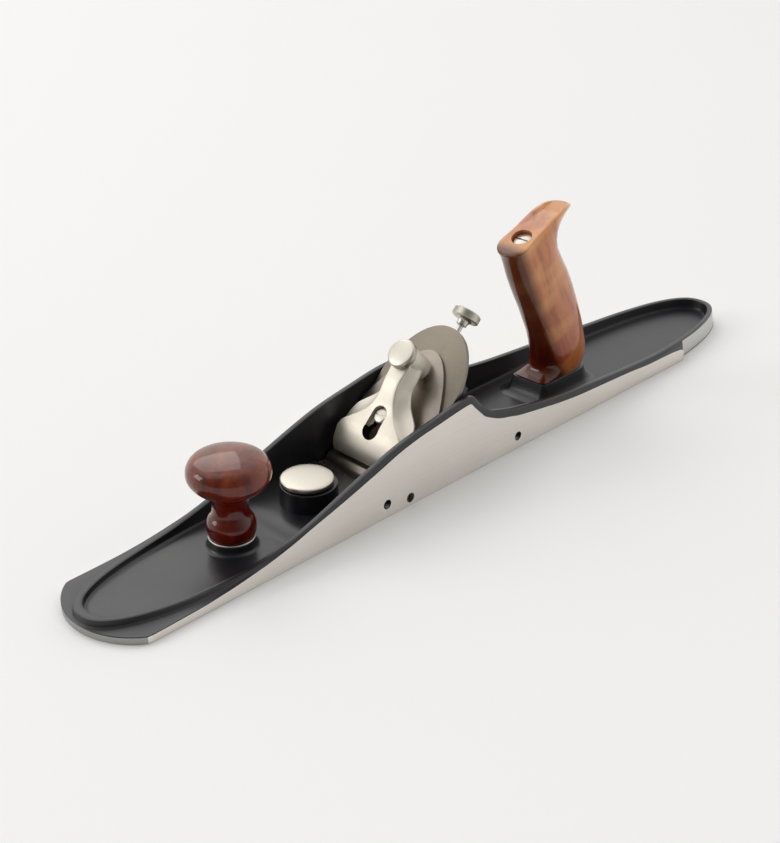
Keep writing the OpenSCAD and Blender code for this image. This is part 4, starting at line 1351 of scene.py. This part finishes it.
@dataclass
class BladeSet:
    """Frog, blade, chip breaker, adjuster and the screws between them."""

    rod_h: float = -4.6
    wheel_w: float = 118.5

    def cap_screw(self, bed: Matrix) -> None:
        """The domed, slotted screw that the lever cap hooks under."""
        bm = spun(chain([(0, -19.5), (2.9, -19.5), (3.2, -19.2), (3.2, 17.4), (4.7, 17.55)],
                        bezier((5.15, 17.8), (5.2, 19.4), (3.9, 19.7), 4),
                        bezier((3.4, 19.8), (1.6, 20.0), (0, 20.0), 3)), 64)
        obj = to_object(bm, "lever_cap_screw_turned", [TURNED_NICKEL])
        slot = prism([(-0.6, -6), (0.6, -6), (0.6, 6), (-0.6, 6)], 18.7, 22)
        carve(obj, [slot], "DIFFERENCE", 0)
        obj.data.transform(bed @ Matrix.Translation((CAP_SCREW_W * MM, 0, 0)))
        place(obj, "cap_screw", Slot.NICKEL, "lever_cap_screw")

    def knobs(self) -> list[KnurledKnob]:
        """The thumb knob and the adjuster wheel."""
        r = 9.2
        thumb = chain([(0, 6.5), (2.6, 6.5), (3.0, 7.0), (3.0, 27.3), (5.2, 27.3), (5.5, 27.6),
                       (5.5, 28.0), (r - 1.0, 28.0), (r - 0.5, 28.35), (r, 28.7), (r, 30.2),
                       (r, 31.8), (r - 0.5, 32.2)],
                      bezier((r - 0.8, 32.45), (r - 3, 33.1), (0, 33.2), 6))
        w, rw = self.wheel_w, 8.8
        wheel = chain([(0, w - 4.2), (3.0, w - 4.2)],
                      bezier((3.3, w - 4.0), (3.5, w - 0.9), (5.2, w - 0.1), 5),
                      [(rw - 0.9, w), (rw - 0.4, w + 0.35), (rw, w + 0.7), (rw, w + 2.7),
                       (rw, w + 4.7), (rw - 0.4, w + 5.1), (rw - 0.9, w + 5.4), (2.6, w + 5.4),
                       (2.2, w + 5.1), (0, w + 5.1)])
        return [KnurledKnob("lever_knob", "thumb", "thumb_knob", tuple(thumb),
                            (THUMB_W, 0.0), Axis.Z, (28.5, 32.0), 58),
                KnurledKnob("adjuster_wheel", "adjuster", "adjuster_wheel_knurled",
                            tuple(wheel), (0.0, self.rod_h), Axis.X, (w + 0.5, w + 4.9), 54)]

    def build(self, bed: Matrix) -> None:
        """Builds the turned pieces and finishes the CAD's flat ones."""
        for knob in self.knobs():
            knob.build(bed)
        self.cap_screw(bed)
        softened("blade", BLADE_STEEL, "blade_set", Slot.BLADE, 0.18)
        softened("chip_breaker", BREAKER_STEEL, "blade_set", Slot.BREAKER, 0.2, 40.0)
        softened("chip_breaker_screw", STEEL, "blade_set", Slot.STEEL, 0.2)
        softened("feed_carrier", STEEL, "blade_set", Slot.STEEL, 0.2)
        softened("feed_rod", STEEL, "adjuster", Slot.STEEL, 0.15)
        softened("frog", FROG_ENAMEL, "casting", Slot.FROG, 0.5)
        softened("frog_screws", STEEL, "casting", Slot.STEEL, 0.2)
        softened("set_screw_near", BLACKENED_STEEL_AND_HOLE_SHADE, "near_screw", Slot.STEEL, 0.2)
        softened("set_screw_far", BLACKENED_STEEL_AND_HOLE_SHADE, "far_screw", Slot.STEEL, 0.2)


@dataclass
class HiddenPieces:
    """CAD nodes that stay as they are, with a better finish."""

    finishes: dict[str, Finish] = field(default_factory=lambda: {
        "knob_stud": STEEL, "knob_insert": BRASS, "toe_lock_stud": STEEL, "tote_rod": STEEL,
        "pivot_barrel": STEEL})

    def dress(self) -> None:
        """Gives each node its finish."""
        for node, finish in self.finishes.items():
            obj = frame["nodes"][node]
            obj.data.materials.clear()
            obj.data.materials.append(finish.material())
            LOG.info("%s: dressed", node)


@dataclass(frozen=True)
class SoftLight:
    """A soft rectangular light that looks at the plane: place, size, watts and tint."""

    name: str
    spot: tuple[float, float, float]
    size: tuple[float, float]
    power: float
    colour: Colour = (1.0, 0.985, 0.96)
    aim: tuple[float, float, float] = (0.0, 0.0, 0.03)

    def hang(self) -> None:
        """Puts the light into the scene."""
        data = bpy.data.lights.new(self.name, "AREA")
        data.shape = "RECTANGLE"
        data.size, data.size_y = self.size
        data.energy = self.power
        data.color = self.colour
        obj = bpy.data.objects.new(self.name, data)
        bpy.context.scene.collection.objects.link(obj)
        obj.location = self.spot
        look = Vector(self.aim) - Vector(self.spot)
        obj.rotation_euler = look.to_track_quat("-Z", "Y").to_euler()


@dataclass
class Studio:
    """Camera, floor and soft lights round the plane."""

    azimuth: float = math.radians(-45.7513)
    elevation: float = math.radians(27.7599)
    distance: float = 1.007135
    aim: tuple[float, float, float] = (-0.00269, 0.046212, 0.0)
    lens: float = 66.935
    sensor: float = 36.0
    floor_size: float = 12.0
    room_light: float = 1.05
    dark_light: float = 0.16
    dark_side: tuple[float, float, float] = (-0.76, -0.58, 0.28)
    lights: tuple[SoftLight, ...] = (
        SoftLight("back_panel", (1.5, 3.8, 3.6), (3.2, 2.6), 34.0),
        SoftLight("overhead", (-1.3, 1.6, 3.8), (3.4, 3.0), 22.0),
        SoftLight("far_window", (-2.6, 2.2, 1.4), (1.4, 1.4), 24.0, (1.0, 0.99, 0.98)))

    def camera(self) -> None:
        """Puts the camera at its view of the plane's near side and toe."""
        flat = math.cos(self.elevation)
        offset = Vector((math.sin(self.azimuth) * flat, -math.cos(self.azimuth) * flat,
                         math.sin(self.elevation)))
        target = Vector(self.aim)
        data = bpy.data.cameras.new("camera")
        data.lens = self.lens
        data.sensor_width = self.sensor
        data.sensor_fit = "AUTO"
        data.clip_start, data.clip_end = 0.05, 60.0
        obj = bpy.data.objects.new("camera", data)
        bpy.context.scene.collection.objects.link(obj)
        obj.location = target + offset * self.distance
        obj.rotation_euler = (-offset).to_track_quat("-Z", "Y").to_euler()
        bpy.context.scene.camera = obj

    def build(self) -> None:
        """Builds floor, world and lights, and places the camera."""
        self.camera()
        bm = bmesh.new()
        bmesh.ops.create_grid(bm, x_segments=2, y_segments=2, size=self.floor_size)
        floor = to_object(bm, "floor", [PAPER])
        world = bpy.data.worlds.new("studio")
        world.use_nodes = True
        tree = world.node_tree
        back = next(n for n in tree.nodes if n.type == "BACKGROUND")
        back.inputs["Color"].default_value = (1.0, 0.995, 0.985, 1.0)
        facing = add(tree, "ShaderNodeVectorMath", operation="DOT_PRODUCT",
                     in_0=add(tree, "ShaderNodeTexCoord").outputs["Generated"],
                     in_1=self.dark_side)
        dimmed = add(tree, "ShaderNodeMapRange", in_0=facing.outputs["Value"], in_1=0.0,
                     in_2=0.85, in_3=self.room_light, in_4=self.dark_light)
        tree.links.new(dimmed.outputs[0], back.inputs["Strength"])
        bpy.context.scene.world = world
        bpy.context.scene.view_settings.view_transform = "Standard"
        bpy.context.scene.view_settings.look = "None"
        for light in self.lights:
            light.hang()


def main() -> None:
    """Builds the whole plane, then the studio."""
    logging.basicConfig(level=logging.INFO, format="%(message)s")
    bed = bed_matrix(MOUTH_X * MM)
    Casting().build()
    FrontKnob().build()
    ToeLock().build()
    BladeSet().build(bed)
    LeverCap().build(bed)
    Tote().build()
    HiddenPieces().dress()
    Studio().build()


if __name__ == "__main__":
    main()
